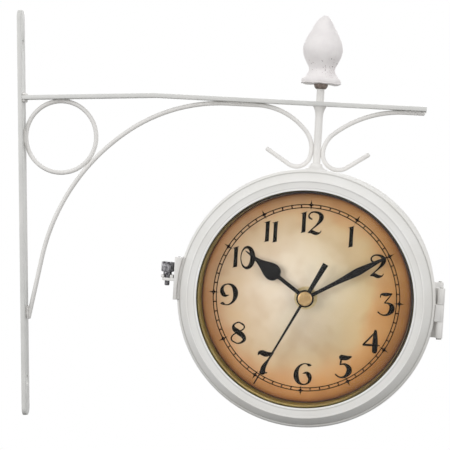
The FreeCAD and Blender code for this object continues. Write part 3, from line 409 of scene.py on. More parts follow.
# ---- finial
# A cast bud on the post's top, dipped in thick paint that has chipped to dark and pinkish
# specks around its waist, most of them on the side away from the wall.
MILLIMETRES = Matrix.Scale(MM, 4)
FINIAL_OUTLINE = [
    (0.0, 151.0), (13.1, 151.0), (13.9, 151.5), (14.15, 152.6), (13.9, 153.9), (12.9, 154.9), (11.3, 156.4),
    (10.1, 158.0), (9.4, 159.6), (9.2, 161.0), (9.45, 162.4), (10.2, 164.2), (11.5, 166.5), (12.7, 168.8),
    (13.5, 171.0), (14.0, 173.2), (14.2, 175.2), (14.05, 177.4), (13.4, 179.9), (12.3, 182.5), (10.9, 185.4),
    (9.1, 188.8), (7.4, 191.9), (5.6, 195.0), (4.1, 197.3), (2.9, 198.6), (1.5, 199.4), (0.0, 199.6),
]
CAST_WAVE, CAST_WAVES_TO_MM = 0.006, 0.16
WAIST, AXIS = hung(0.0, 0.0, 162.2).z, hung(0.0, 0.0, 160.0).x
# Chips: (cells to the metre, share of the cells, colour, lowest, highest from the waist)
CHIPS = [(980.0, 0.75, "A08488", -0.009, 0.008), (640.0, 0.42, "54474A", -0.005, 0.007)]


def plain_mesh(name, bm):
    """The mesh of a bmesh, with smooth faces between its sharp edges."""
    mesh = bpy.data.meshes.new(name)
    bm.to_mesh(mesh)
    bm.free()
    mesh.shade_smooth()
    mesh.set_sharp_from_angle(angle=SHARP)
    return mesh


def settle(name, bm, place, material, body, slot, *nodes):
    """A bmesh drawn in millimetres, brought to its place and fitted."""
    bm.transform(place @ MILLIMETRES)
    fit(name, plain_mesh(name, bm), material, body, slot, *nodes)


def smooth_line(points, spans):
    """Points of any width run through by one smooth line."""
    last = len(points) - 1
    line = []
    for number in range(last):
        a, b, c, d = (points[min(max(pick, 0), last)] for pick in range(number - 1, number + 3))
        for step in range(spans):
            t = step / spans
            line.append(tuple(
                0.5 * (2 * q + (r - p) * t + (2 * p - 5 * q + 4 * r - s) * t * t
                       + (3 * q - p - 3 * r + s) * t * t * t)
                for p, q, r, s in zip(a, b, c, d)))
    line.append(tuple(points[-1]))
    return line


def lathe(outline, steps):
    """A turned bmesh about Z from (radius, height) points; a closed outline without a pole is a ring."""
    bm = bmesh.new()
    rings = []
    for radius, height in outline:
        if radius < 1e-6:
            rings.append([bm.verts.new((0.0, 0.0, height))])
        else:
            turns = [math.tau * step / steps for step in range(steps)]
            rings.append([bm.verts.new((radius * math.cos(t), radius * math.sin(t), height)) for t in turns])
    pairs = list(zip(rings, rings[1:]))
    if len(rings[0]) > 1:
        pairs.append((rings[-1], rings[0]))
    for low, high in pairs:
        for step in range(steps):
            corners = []
            for vert in (low[step % len(low)], low[(step + 1) % steps % len(low)],
                         high[(step + 1) % steps % len(high)], high[step % len(high)]):
                if vert not in corners:
                    corners.append(vert)
            bm.faces.new(corners)
    bmesh.ops.recalc_face_normals(bm, faces=bm.faces)
    return bm


def mixed(tree, share, first, second, way="MIX"):
    """Two colours mixed by a share or a mask."""
    node = put(tree, "ShaderNodeMix", {0: share, 6: first, 7: second}, data_type="RGBA", blend_type=way)
    return node.outputs[2]


def speckle(material, cell_scale, share, code, low, high):
    """Small chips of another colour, gathered between two heights and thicker on the outer side."""
    tree = material.node_tree
    colour = tree.nodes["Principled BSDF"].inputs["Base Color"]
    spot = put(tree, "ShaderNodeTexCoord").outputs["Object"]
    cells = put(tree, "ShaderNodeTexVoronoi", {"Vector": spot, "Scale": cell_scale, "Randomness": 1.0}).outputs
    chip = between(tree, cells["Distance"], 1.0, 0.0, 0.16, 0.30)
    pick = put(tree, "ShaderNodeSeparateColor", {"Color": cells["Color"]}).outputs["Red"]
    place = put(tree, "ShaderNodeSeparateXYZ", {"Vector": spot}).outputs
    outer = between(tree, place["X"], 0.15, 1.0, AXIS - 0.003, AXIS + 0.007)
    middle, half = (low + high) / 2, (high - low) / 2
    away = reckon(tree, "ABSOLUTE", reckon(tree, "SUBTRACT", place["Z"], middle))
    near = reckon(tree, "MULTIPLY", between(tree, away, share, 0.0, half * 0.3, half), outer)
    mask = reckon(tree, "MULTIPLY", chip, reckon(tree, "LESS_THAN", pick, near))
    tree.links.new(mixed(tree, mask, colour.links[0].from_socket, tone(code)), colour)


finial_paint = finish("finial_paint", [(0.3, "F1ECEC"), (0.6, "F8F4F3")], patch=120.0, rough=(0.4, 0.6),
                      grain=1400.0, depth=0.00012)
for cell_scale, share, code, low, high in CHIPS:
    speckle(finial_paint, cell_scale, share, code, WAIST + low, WAIST + high)
bm = lathe(smooth_line(FINIAL_OUTLINE, 3), 128)
for vert in bm.verts:
    off_axis = vert.co.xy.length > 1.0
    vert.co *= 1.0 + CAST_WAVE * noise.noise(vert.co * CAST_WAVES_TO_MM) * off_axis
settle("turned_finial", bm, HUNG, finial_paint, "bracket", "finial_paint", "finial")

# ---- ferrule
# A small cup turned from dull brown metal and left bare, slipped over the post under the
# finial's foot.
FERRULE_OUTLINE = [(2.85, 147.3), (3.4, 147.35), (4.3, 148.2), (4.85, 149.5), (5.0, 151.05), (2.85, 151.05)]
ferrule_metal = finish("ferrule_metal", [(0.3, "6A5F5A"), (0.7, "8B7F78")], patch=300.0, rough=(0.35, 0.6),
                       grain=2400.0, depth=0.00004, Metallic=0.9)
settle("ferrule_cup", lathe(smooth_line(FERRULE_OUTLINE, 3), 64), HUNG, ferrule_metal, "bracket", "bare_ferrule",
       "finial_ferrule")

# ---- drum and collar
# Rolled sheet-steel drum enamelled like the bracket. A small turned collar on its top takes
# the post, with an uneven fillet of weld and thick enamel around its foot.
COLLAR_EASE = 0.0006
FILLET_OUTLINE = [(2.9, 88.6), (7.7, 88.6), (7.5, 90.1), (6.3, 90.9), (4.9, 92.0), (4.2, 93.3), (3.8, 94.1),
                  (2.9, 94.3)]
FILLET_BORE, FILLET_WAVE, FILLET_WAVES_TO_MM = 3.5, 0.05, 0.45
case_paint = finish("case_enamel", PAINT_STOPS, patch=40.0, rough=(0.30, 0.44), grain=700.0, depth=0.00004)
dress(["drum_shell"], case_paint)
fit("drum_collar", eased("drum_collar", cad_copy("hanger_flange"), COLLAR_EASE, 3), case_paint, "case",
    "case_paint", "hanger_flange")
bm = lathe(smooth_line(FILLET_OUTLINE, 3), 64)
for vert in bm.verts:
    swell = FILLET_WAVE * noise.noise(vert.co * FILLET_WAVES_TO_MM) * (vert.co.xy.length > FILLET_BORE)
    vert.co.x, vert.co.y = vert.co.x * (1.0 + swell), vert.co.y * (1.0 + swell)
settle("collar_fillet", bm, HUNG, case_paint, "case", "case_paint")

# ---- drum's seam
# The drum's sheet overlaps at the bottom, where a narrow lap is spot welded in a row of
# shallow discs and enamelled over.
SEAM_LENGTH, SEAM_HALF_TURN, SEAM_STEPS = 62.0, math.radians(3.2), 12
SEAM_INSIDE, SEAM_OUTSIDE = 85.9, 86.4
SPOT_WELDS = {"Count": 5, "Length": SEAM_LENGTH, "Disc radius": 1.7, "Disc height": 0.3, "Floor": -86.42,
              "Paint": case_paint}


def joined(tree, *parts):
    """Parts of a tree's geometry as one."""
    node = put(tree, "GeometryNodeJoinGeometry")
    for part in parts:
        tree.links.new(part if isinstance(part, bpy.types.NodeSocket) else part.outputs[0], node.inputs[0])
    return node


def strip_walls(bm, rings):
    """The faces of a strip through rings of four corners, closed at both ends."""
    for before, after in zip(rings, rings[1:]):
        for corner in range(4):
            beside = (corner + 1) % 4
            bm.faces.new((before[corner], before[beside], after[beside], after[corner]))
    bm.faces.new(rings[0])
    bm.faces.new(rings[-1][::-1])


tree, feed = new_tree("spot_welds", SPOT_WELDS)
gap = reckon(tree, "DIVIDE", feed["Length"], feed["Count"])
first = reckon(tree, "MULTIPLY", reckon(tree, "SUBTRACT", feed["Length"], gap), -0.5)
start = put(tree, "ShaderNodeCombineXYZ", {"Y": first, "Z": feed["Floor"]})
step = put(tree, "ShaderNodeCombineXYZ", {"Y": gap})
spots = put(tree, "GeometryNodeMeshLine", {"Count": feed["Count"], "Start Location": start, "Offset": step})
disc = put(tree, "GeometryNodeMeshCylinder", {
    "Vertices": 20, "Radius": feed["Disc radius"], "Depth": feed["Disc height"]})
end_tree(tree, joined(tree, set_on(tree, spots, disc), feed["Geometry"]), feed["Paint"])
bm = bmesh.new()
lapped = []
for number in range(SEAM_STEPS + 1):
    turn = -math.pi / 2 + SEAM_HALF_TURN * (2 * number / SEAM_STEPS - 1)
    lapped.append([bm.verts.new((reach * math.cos(turn), depth, reach * math.sin(turn)))
                   for reach, depth in ((SEAM_INSIDE, -SEAM_LENGTH / 2), (SEAM_OUTSIDE, -SEAM_LENGTH / 2),
                                        (SEAM_OUTSIDE, SEAM_LENGTH / 2), (SEAM_INSIDE, SEAM_LENGTH / 2))])
strip_walls(bm, lapped)
bmesh.ops.recalc_face_normals(bm, faces=bm.faces)
mesh = applied("lap_seam", plain_mesh("lap_seam", bm), [grown(tree, SPOT_WELDS)])
mesh.transform(HUNG @ MILLIMETRES)
mesh.set_sharp_from_angle(angle=SHARP)
fit("lap_seam", mesh, case_paint, "case", "case_paint")

# ---- bezels
# Each door is a spun steel bezel with a narrow flat face, a sloping shoulder and a rolled bead, enamelled over faint
# turning rings. Its colour carries a painted highlight on the lip and painted shade in the grooves.
FACES = {
    "front": HUNG @ Matrix.Rotation(math.radians(90), 4, "X"),
    "rear": HUNG @ Matrix.Rotation(math.pi, 4, "Z") @ Matrix.Rotation(math.radians(90), 4, "X"),
}
BEZEL_OUTLINE = [
    ((75.0, 45.7), 0.3), ((75.15, 46.3), 0.35), ((76.1, 46.3), 0.3), ((76.5, 46.08), 0.3), ((80.7, 46.08), 0.3),
    ((81.2, 46.35), 0.3), ((82.0, 46.3), 0.4), ((82.45, 45.5), 0.4), ((84.6, 42.95), 1.6), ((87.1, 39.0), 0.9),
    ((87.5, 38.05), 0.2), ((87.9, 38.15), 0.25), ((88.7, 37.8), 0.6), ((89.8, 36.0), 0.9), ((89.8, 34.2), 0.8),
    ((88.65, 32.3), 0.4), ((87.0, 32.3), 0.3), ((87.0, 37.2), 0.5), ((86.4, 38.1), 0.5), ((81.4, 45.2), 0.6),
    ((75.0, 45.2), 0.3),
]
# Painted light by distance from the dial's middle: a painted highlight on the lip and on the step's outer edge, and
# painted shade in the groove behind the lip, at the step and before the bead.
SPUN_HIGHLIGHT_AND_SHADE = [(75.2, "FFFFFD"), (76.0, "FFFFFD"), (76.5, "DAD9D6"), (77.2, "F6F5F2"), (80.5, "F2F1EE"),
              (81.0, "E4E3E0"), (81.6, "FCFBF8"), (82.3, "F6F5F2"), (86.7, "F3F2EF"), (87.6, "C9C8C4"),
              (88.3, "F4F3F0")]
RINGS_TO_MM, RING_DEPTH = 7.5, 0.000012
CORNER_SPANS, FLAT_HOLD = 4, 0.15


def rounded(outline):
    """A closed outline whose corners ((x, y), radius) are rounded, with a point to hold each flat."""
    spots = []
    for number, ((x, y), radius) in enumerate(outline):
        here = Vector((x, y))
        before = Vector(outline[number - 1][0]) - here
        after = Vector(outline[(number + 1) % len(outline)][0]) - here
        ease = min(radius, before.length * 0.45, after.length * 0.45)
        start, end = here + before.normalized() * ease, here + after.normalized() * ease
        if before.length > ease * 4:
            spots.append(tuple(start + before.normalized() * FLAT_HOLD))
        for step in range(CORNER_SPANS + 1):
            t = step / CORNER_SPANS
            spots.append(tuple(start * (1 - t) ** 2 + here * (2 * t * (1 - t)) + end * t * t))
        if after.length > ease * 4:
            spots.append(tuple(end + after.normalized() * FLAT_HOLD))
    return spots


def on_vectors(tree, operation, *vectors):
    """A sum on vectors by one node; a length, distance or dot product comes out as a value."""
    node = put(tree, "ShaderNodeVectorMath", dict(enumerate(vectors)), operation=operation)
    return node.outputs["Value" if operation in ("LENGTH", "DISTANCE", "DOT_PRODUCT") else "Vector"]


def in_face(tree, side):
    """Object coordinates as millimetres in a dial's own frame, their flat part and its length."""
    face = FACES[side]
    spot = put(tree, "ShaderNodeMapping", {
        "Vector": put(tree, "ShaderNodeTexCoord").outputs["Object"], "Location": face.translation,
        "Rotation": face.to_euler(), "Scale": (MM, MM, MM)}, vector_type="TEXTURE").outputs["Vector"]
    flat = on_vectors(tree, "MULTIPLY", spot, (1.0, 1.0, 0.0))
    return spot, flat, on_vectors(tree, "LENGTH", flat)


def fade(tree, feed, start, end, stops):
    """A colour that follows a value from start to end through its stops."""
    return ramp(tree, between(tree, feed, 0.0, 1.0, start, end), stops)


def tinted(tree, first, second, share=1.0):
    """One colour multiplied by another."""
    return mixed(tree, share, first, second, "MULTIPLY")


def spun_enamel(side):
    """Enamel over spun steel, its painted highlight and shade and its fine rings following the distance from the
    dial's middle.
    """
    material = finish(f"{side}_spun_enamel", [(0.3, "F8F7F5"), (0.7, "FFFFFF")], patch=40.0, rough=(0.28, 0.42),
                      grain=700.0, depth=0.00004)
    tree = material.node_tree
    shader = tree.nodes["Principled BSDF"]
    _, _, radius = in_face(tree, side)
    low, high = SPUN_HIGHLIGHT_AND_SHADE[0][0], SPUN_HIGHLIGHT_AND_SHADE[-1][0]
    painted_light = fade(tree, radius, low, high, [((spot - low) / (high - low), code) for spot, code in SPUN_HIGHLIGHT_AND_SHADE])
    colour = shader.inputs["Base Color"]
    tree.links.new(tinted(tree, painted_light, colour.links[0].from_socket), colour)
    rings = reckon(tree, "SINE", reckon(tree, "MULTIPLY", radius, RINGS_TO_MM))
    normal = shader.inputs["Normal"]
    spun = put(tree, "ShaderNodeBump", {"Height": rings, "Distance": RING_DEPTH,
                                        "Normal": normal.links[0].from_socket})
    tree.links.new(spun.outputs["Normal"], normal)
    return material


for side, face in FACES.items():
    settle(f"{side}_spun_bezel", lathe(rounded(BEZEL_OUTLINE), 192), face, spun_enamel(side), f"{side}_door",
           "case_paint", f"{side}_bezel_ring")

# ---- glass and snap rings
# A round pane of clear glass lies behind each bezel's lip, held there by a zinc plated
# snap ring of spring wire.
clear_glass, tree, pane = new_material("clear_glass")
pane.inputs["Base Color"].default_value = (1.0, 1.0, 1.0, 1.0)
pane.inputs["Transmission Weight"].default_value = 1.0
pane.inputs["IOR"].default_value = 1.15
spot = put(tree, "ShaderNodeTexCoord").outputs["Object"]
tree.links.new(between(tree, cloud(tree, spot, 30.0), 0.0, 0.03, 0.4, 0.7), pane.inputs["Roughness"])
rays = put(tree, "ShaderNodeLightPath")
mixer = put(tree, "ShaderNodeMixShader", {
    0: rays.outputs["Is Shadow Ray"], 1: pane, 2: put(tree, "ShaderNodeBsdfTransparent")})
tree.links.new(mixer.outputs[0], tree.nodes["Material Output"].inputs["Surface"])
for side in FACES:
    dress([f"{side}_door_glass"], clear_glass)
    dress([f"{side}_glass_retainer"], zinc)

# ---- hinges, lugs and forks
# Pressed steel leaves and knuckles enamelled with the case, on a plated pin; opposite, a
# lug and tab on the bezel and a forked strap on the drum.
FITTINGS = {"drum_hinge_leaf": ("case", 0.0004), "door_hinge_leaf": ("door", 0.0004),
            "latch_lug": ("door", 0.0011), "latch_fork": ("case", 0.0004)}  # (what carries it, ease)
for side in FACES:
    for fitting, (body, width) in FITTINGS.items():
        node = f"{side}_{fitting}"
        owner = "case" if body == "case" else f"{side}_door"
        fit(f"{node}_eased", eased(node, cad_copy(node), width), case_paint, owner, "case_paint", node)
dress(["hinge_pins"], zinc)

# ---- lug fillets
# A run of weld along the foot of each lug, where it meets the bezel's sloping bead, filled
# and rounded by the enamel.
LUG_BEADS = {"Pitch": 0.0008, "Unevenness": 0.15, "Seed": 3, "Paint": case_paint}
LUG_RADIUS, LUG_DEPTH = 89.0, 37.7
LUG_LOW, LUG_LENGTH, LUG_STEPS = -5.7, 28.4, 24
LUG_BEAD = 1.1
for side, face in FACES.items():
    across = -1.0 if side == "front" else 1.0
    seam = []
    for step in range(LUG_STEPS + 1):
        turn = math.asin((LUG_LOW + LUG_LENGTH * step / LUG_STEPS) / LUG_RADIUS)
        spot = Vector((across * LUG_RADIUS * math.cos(turn), LUG_RADIUS * math.sin(turn), LUG_DEPTH)) * MM
        seam.append((face @ spot, LUG_BEAD * MM))
    name = f"{side}_lug_fillet"
    fit(name, welded(name, [seam], LUG_BEADS, 0.00025, 4), case_paint, f"{side}_door", "case_paint")

# ---- thumbscrews
# A plated screw with a tall dark knurled head, through the tab of each lug into the fork.
# The shank and head are turned, and thirty round ribs stand on the head's rim.
SCREW_OUTLINE = [
    (0.0, 3.0), (1.3, 3.0), (1.75, 3.5), (1.75, 10.6), (3.0, 10.7), (3.0, 12.5), (3.3, 12.6), (4.1, 12.7),
    (4.15, 13.0), (4.15, 19.2), (4.1, 19.5), (3.7, 19.7), (2.2, 19.95), (0.0, 20.05),
]
SCREW_PLACE = Matrix.Translation((-97.3, 0.0, 36.0)) @ Matrix.Rotation(math.radians(-90), 4, "X")
SCREW_SHARP = math.radians(40)
chrome = finish("dark_chrome", [(0.35, "3C3B3E"), (0.65, "8C8B8D")], patch=420.0, rough=(0.10, 0.24),
                grain=2200.0, depth=0.00003, Metallic=1.0)
KNURL = {"Ribs": 30, "Head radius": 4.15, "Rib radius": 0.42, "Rib length": 6.3, "Rib height": 16.2,
         "Metal": chrome}
tree, feed = new_tree("knurled_head", KNURL)
rim = put(tree, "GeometryNodeMeshCircle", {"Vertices": feed["Ribs"], "Radius": feed["Head radius"]})
rib = put(tree, "GeometryNodeMeshCylinder", {
    "Vertices": 8, "Radius": feed["Rib radius"], "Depth": feed["Rib length"]})
lift = put(tree, "ShaderNodeCombineXYZ", {"Z": feed["Rib height"]})
raised = put(tree, "GeometryNodeTransform", {"Geometry": rim, "Translation": lift})
end_tree(tree, joined(tree, set_on(tree, raised, rib), feed["Geometry"]), feed["Metal"])
core = plain_mesh("screw_core", lathe(SCREW_OUTLINE, 48))
for side in FACES:
    head = applied(f"{side}_thumbscrew_knurled", core, [grown(tree, KNURL)])
    head.transform(SCREW_PLACE)
    head.transform(FACES["front"] @ MILLIMETRES)
    if side == "rear":
        head.transform(Matrix.Scale(-1.0, 4, (0.0, 1.0, 0.0)))
        head.flip_normals()
    head.set_sharp_from_angle(angle=SCREW_SHARP)
    fit(f"{side}_thumbscrew_knurled", head, chrome, f"{side}_latch_screw", "latch_chrome", f"{side}_thumbscrew")

# ---- dial plates
# Thin sheet dials printed in an aged tan: a light middle off centre, a greyer patch below it, and a field that burns
# darker towards the rim, all softly mottled. At the very edge, a dark band is painted shadow of the bezel's lip.
DIAL_FRONT = 28.5
AGED_FIELD = [(0.0, "DACDB9"), (0.25, "D2C4AC"), (0.5, "C0AB8A"), (0.63, "BFA37C"), (0.72, "BE9263"),
              (0.8, "B6824B"), (0.9, "A06A31"), (1.0, "7E4E23")]
FIELD_SHIFT, FIELD_REACH = (7.0, -5.0, 0.0), 84.0
WANDER_SCALE, WANDER_PULL = 0.03, (26.0, 26.0, 0.0)
MOTTLE = [(0.35, "D2B798"), (0.5, "FFFFFF"), (0.68, "FFF8EC")]
MOTTLE_SCALE, MOTTLE_SHARE = 0.045, 0.26
# A greyer patch below and right of the dial's middle.
GREY_PATCH_MIDDLE, GREY_PATCH = (9.0, -23.0, 0.0), [(0.0, "E6E4E4"), (0.4, "EFEEEC"), (1.0, "FFFFFF")]
LEFT_TO_RIGHT = [(0.0, "FFFAFF"), (0.5, "FFFFFF"), (1.0, "FBFFF0")]
# Painted shadow of the bezel's lip on the dial's outer edge.
LIP_SHADOW_EDGE = [(0.2, "FFFFFF"), (0.65, "E2D2C0"), (0.9, "5E4230")]


def dial_print(side):
    """The aged print of one dial, with a painted shadow of the bezel's lip around its edge."""
    material, tree, shader = new_material(f"{side}_aged_print")
    shader.inputs["Roughness"].default_value = 0.5
    _, flat, radius = in_face(tree, side)
    wander = put(tree, "ShaderNodeTexNoise", {"Vector": flat, "Scale": WANDER_SCALE, "Detail": 3.0})
    pull = on_vectors(tree, "SUBTRACT", wander.outputs["Color"], (0.5, 0.5, 0.5))
    moved = on_vectors(tree, "ADD", flat, on_vectors(tree, "MULTIPLY", pull, WANDER_PULL))
    reach = on_vectors(tree, "LENGTH", on_vectors(tree, "ADD", moved, FIELD_SHIFT))
    colour = fade(tree, reach, 0.0, FIELD_REACH, AGED_FIELD)
    colour = tinted(tree, colour, ramp(tree, cloud(tree, flat, MOTTLE_SCALE, 2.0), MOTTLE), MOTTLE_SHARE)
    colour = tinted(tree, colour, fade(tree, on_vectors(tree, "DISTANCE", moved, GREY_PATCH_MIDDLE), 6.0, 34.0, GREY_PATCH))
    across = put(tree, "ShaderNodeSeparateXYZ", {"Vector": flat}).outputs["X"]
    colour = tinted(tree, colour, fade(tree, across, -70.0, 70.0, LEFT_TO_RIGHT))
    # Painted shadow: a dark band around the dial's edge, under the bezel's lip.
    colour = tinted(tree, colour, fade(tree, radius, 69.0, 73.4, LIP_SHADOW_EDGE))
    tree.links.new(colour, shader.inputs["Base Color"])
    return material


for side in FACES:
    dress([f"{side}_dial_plate"], dial_print(side))

# ---- gilt ring walls
# A sheet ring in olive gilt stands between each dial and its glass. Painted shade darkens it deeper in the recess.
# Its front edge has a painted highlight at the lower left and a painted shadow at the upper right.
# Painted shade: the olive darkens from the glass back towards the dial. Painted light on the front edge: gold at the
# lower left, black at the upper right.
GILT_AND_RECESS_SHADE = [(0.0, "54481C"), (0.35, "6E622A"), (0.7, "7E7033"), (0.96, "988650")]
WALL_BACK, WALL_FRONT, FRONT_EDGE = 28.0, 42.6, 42.45
EDGE_HIGHLIGHT_AND_SHADOW = [(0.0, "AC985E"), (0.3, "8A7844"), (0.5, "4A3B1C"), (0.68, "1C130B")]
UPPER_RIGHT = (0.7, 0.7, 0.0)


def gilt_wall(side):
    """Olive gilt with painted shade that follows the depth, and on the front edge a painted highlight and shadow that
    follow the direction.
    """
    material = finish(f"{side}_olive_gilt", [(0.3, "E4E0D2"), (0.7, "FFFFFF")], patch=180.0, rough=(0.35, 0.55),
                      grain=1800.0, depth=0.00004, Metallic=0.2)
    tree = material.node_tree
    colour = tree.nodes["Principled BSDF"].inputs["Base Color"]
    spot, _, _ = in_face(tree, side)
    depth = put(tree, "ShaderNodeSeparateXYZ", {"Vector": spot}).outputs["Z"]
    wall = fade(tree, depth, WALL_BACK, WALL_FRONT, GILT_AND_RECESS_SHADE)
    edge = fade(tree, on_vectors(tree, "DOT_PRODUCT", spot, UPPER_RIGHT), -70.0, 70.0, EDGE_HIGHLIGHT_AND_SHADOW)
    tint = mixed(tree, reckon(tree, "GREATER_THAN", depth, FRONT_EDGE), wall, edge)
    tree.links.new(tinted(tree, tint, colour.links[0].from_socket), colour)
    return material


for side in FACES:
    dress([f"{side}_spacer_ring"], gilt_wall(side))

# ---- numerals and minute track
# Twelve plain upright numerals in black, drawn as with a broad brush. Around them, in a
# browner ink, run two fine rings with a rung at each minute and a slender four-pointed mark
# at each hour.
PRINT, LAYERS, LAYER_STEP = 0.03, 5, 0.002
STEM = [(-0.17, 0.89), (-0.02, 0.945), (0.14, 1.0), (0.095, 0.94), (0.088, 0.5), (0.095, 0.06), (-0.13, 0.0),
        (-0.088, 0.06), (-0.08, 0.5), (-0.086, 0.87)]
SIX = [(.76, .92, .02), (.65, .92, .085), (.55, .96, .05), (.45, .97, .04), (.31, .92, .055), (.17, .78, .08),
       (.09, .56, .118), (.10, .33, .128), (.20, .13, .10), (.34, .04, .065), (.48, .03, .045), (.62, .09, .06),
       (.70, .21, .085), (.71, .36, .108), (.64, .49, .115), (.54, .56, .08), (.38, .52, .02)]
OVAL = [(0.33 + 0.27 * math.cos(t), 0.5 + 0.47 * math.sin(t), 0.082 + 0.045 * math.cos(t))
        for t in (math.tau * (number / 16 + 0.25) for number in range(17))]
DIGITS = {  # how far each moves the pen on, and its strokes of (x, y, width), in heights
    "0": (0.68, [OVAL]),
    "1": (0.36, []),
    "2": (0.64, [[(.17, .66, .05), (.06, .72, .06), (.04, .84, .05), (.15, .96, .05), (.33, .985, .06),
                  (.52, .92, .09), (.60, .78, .12), (.55, .60, .10), (.40, .40, .06), (.20, .20, .045),
                  (.05, .05, .04)],
                 [(.05, .04, .04), (.2, .09, .1), (.38, .03, .1), (.55, .06, .05), (.62, .16, .03)]]),
    "3": (0.66, [[(.10, .78, .03), (.14, .92, .06), (.35, .93, .10), (.60, .97, .05)],
                 [(.60, .97, .04), (.45, .75, .045), (.30, .55, .04)],
                 [(.30, .55, .04), (.48, .54, .06), (.63, .42, .12), (.63, .22, .13), (.45, .03, .07),
                  (.22, .01, .045), (.04, .12, .05)]]),
    "4": (0.76, [[(.56, .95, .05), (.02, .32, .06)], [(.02, .31, .06), (.35, .32, .07), (.74, .32, .04)],
                 [(.53, .95, .09), (.54, .5, .13), (.54, .07, .13)]]),
    "5": (0.66, [[(.26, .92, .13), (.48, .91, .12), (.68, .97, .06)], [(.26, .93, .06), (.22, .60, .06)],
                 [(.24, .60, .04), (.42, .62, .07), (.60, .48, .12), (.62, .28, .13), (.45, .06, .08),
                  (.22, .02, .05), (.03, .13, .05)]]),
    "6": (0.76, [SIX]),
    "7": (0.70, [[(.02, .84, .04), (.08, .93, .10), (.20, .94, .13), (.40, .89, .13), (.68, .95, .06)],
                 [(.68, .94, .05), (.48, .62, .07), (.30, .30, .12), (.26, .06, .13)],
                 [(.12, .07, .04), (.26, .04, .08), (.46, .05, .04)]]),
    "8": (0.68, [[(.58, .86, .05), (.36, .98, .05), (.14, .85, .06), (.16, .68, .11), (.36, .53, .13),
                  (.58, .38, .12), (.64, .18, .09), (.38, .02, .05), (.08, .15, .05), (.10, .35, .05),
                  (.34, .53, .045), (.58, .68, .05), (.62, .82, .05), (.52, .93, .05)]]),
    "9": (0.76, [[(0.76 - x, 1.0 - y, width) for x, y, width in SIX]]),
}
NUMERAL_HEIGHT, NUMERAL_RING, NUMERAL_CENTRE = 15.5, 53.7, (0.9, -0.8)
THIN_BROADER, THICK_BROADER = 1.0, 6.6
NUDGES = {1: (1.2, -1.1), 2: (0.8, -0.6), 3: (0.6, 0.1), 4: (0.0, 0.6), 5: (0.7, 1.0), 6: (0.0, 1.2), 7: (0.0, 0.0),
          8: (-0.7, 0.0), 9: (-1.2, -0.4), 10: (0.0, -0.5), 11: (-0.9, -0.9), 12: (-0.4, -0.2)}
INK_SHINE = 0.1
ink = finish("numeral_ink", [(0.3, "0C0A09"), (0.7, "17130F")], patch=500.0, rough=(0.55, 0.7), grain=3000.0,
             depth=0.00001, Specular_IOR_Level=INK_SHINE)
track_ink = finish("track_ink", [(0.3, "160D08"), (0.7, "20140C")], patch=500.0, rough=(0.55, 0.7), grain=3000.0,
                   depth=0.00001, Specular_IOR_Level=INK_SHINE)


def stroke(bm, path, low, high):
    """A brush stroke of (x, y, width) points as a thin closed ribbon with round ends."""
    line = smooth_line(path, 5)
    ends = []
    for (x, y, width), (ax, ay, _) in ((line[0], line[1]), (line[-1], line[-2])):
        away = Vector((x - ax, y - ay)).normalized() * width * 0.5
        ends.append([(x + away.x * math.sin(t), y + away.y * math.sin(t), width * math.cos(t))
                     for t in (1.35, 1.0, 0.6, 0.3)])
    line = [*ends[0], *line, *reversed(ends[1])]
    rings = []
    for number, (x, y, width) in enumerate(line):
        ahead, behind = line[min(number + 1, len(line) - 1)], line[max(number - 1, 0)]
        along = Vector((ahead[0] - behind[0], ahead[1] - behind[1])).normalized() * width * 0.5
        rings.append([bm.verts.new(spot) for spot in (
            (x - along.y, y + along.x, high), (x + along.y, y - along.x, high),
            (x + along.y, y - along.x, low), (x - along.y, y + along.x, low))])
    strip_walls(bm, rings)


def slab(bm, outline, low, high):
    """A flat closed outline thickened between two depths."""
    under = [bm.verts.new((x, y, low)) for x, y in outline]
    over = [bm.verts.new((x, y, high)) for x, y in outline]
    for number in range(len(outline)):
        beside = (number + 1) % len(outline)
        bm.faces.new((under[number], under[beside], over[beside], over[number]))
    for corners in tessellate_polygon([[Vector((x, y, 0.0)) for x, y in outline]]):
        bm.faces.new([over[corner] for corner in corners])
        bm.faces.new([under[corner] for corner in reversed(corners)])


def numerals():
    """All twelve numerals as one thin layer in millimetres, crossing strokes a hair apart in height."""
    bm = bmesh.new()
    layer = 0
    for hour, (aside, up) in NUDGES.items():
        turn = math.radians(30 * hour)
        width = sum(DIGITS[digit][0] for digit in str(hour))
        left = NUMERAL_CENTRE[0] + aside + NUMERAL_RING * math.sin(turn) - width * NUMERAL_HEIGHT / 2
        bottom = NUMERAL_CENTRE[1] + up + NUMERAL_RING * math.cos(turn) - NUMERAL_HEIGHT / 2
        for digit in str(hour):
            advance, strokes = DIGITS[digit]
            if digit == "1":
                slab(bm, [(left + (x + advance / 2) * NUMERAL_HEIGHT, bottom + y * NUMERAL_HEIGHT) for x, y in STEM],
                     DIAL_FRONT, DIAL_FRONT + PRINT)
            for path in strokes:
                layer = (layer + 1) % LAYERS
                stroke(bm, [(left + x * NUMERAL_HEIGHT, bottom + y * NUMERAL_HEIGHT,
                             width * NUMERAL_HEIGHT * (THIN_BROADER + THICK_BROADER * width))
                            for x, y, width in path], DIAL_FRONT, DIAL_FRONT + PRINT + layer * LAYER_STEP)
            left += advance * NUMERAL_HEIGHT
    bmesh.ops.recalc_face_normals(bm, faces=bm.faces)
    return bm


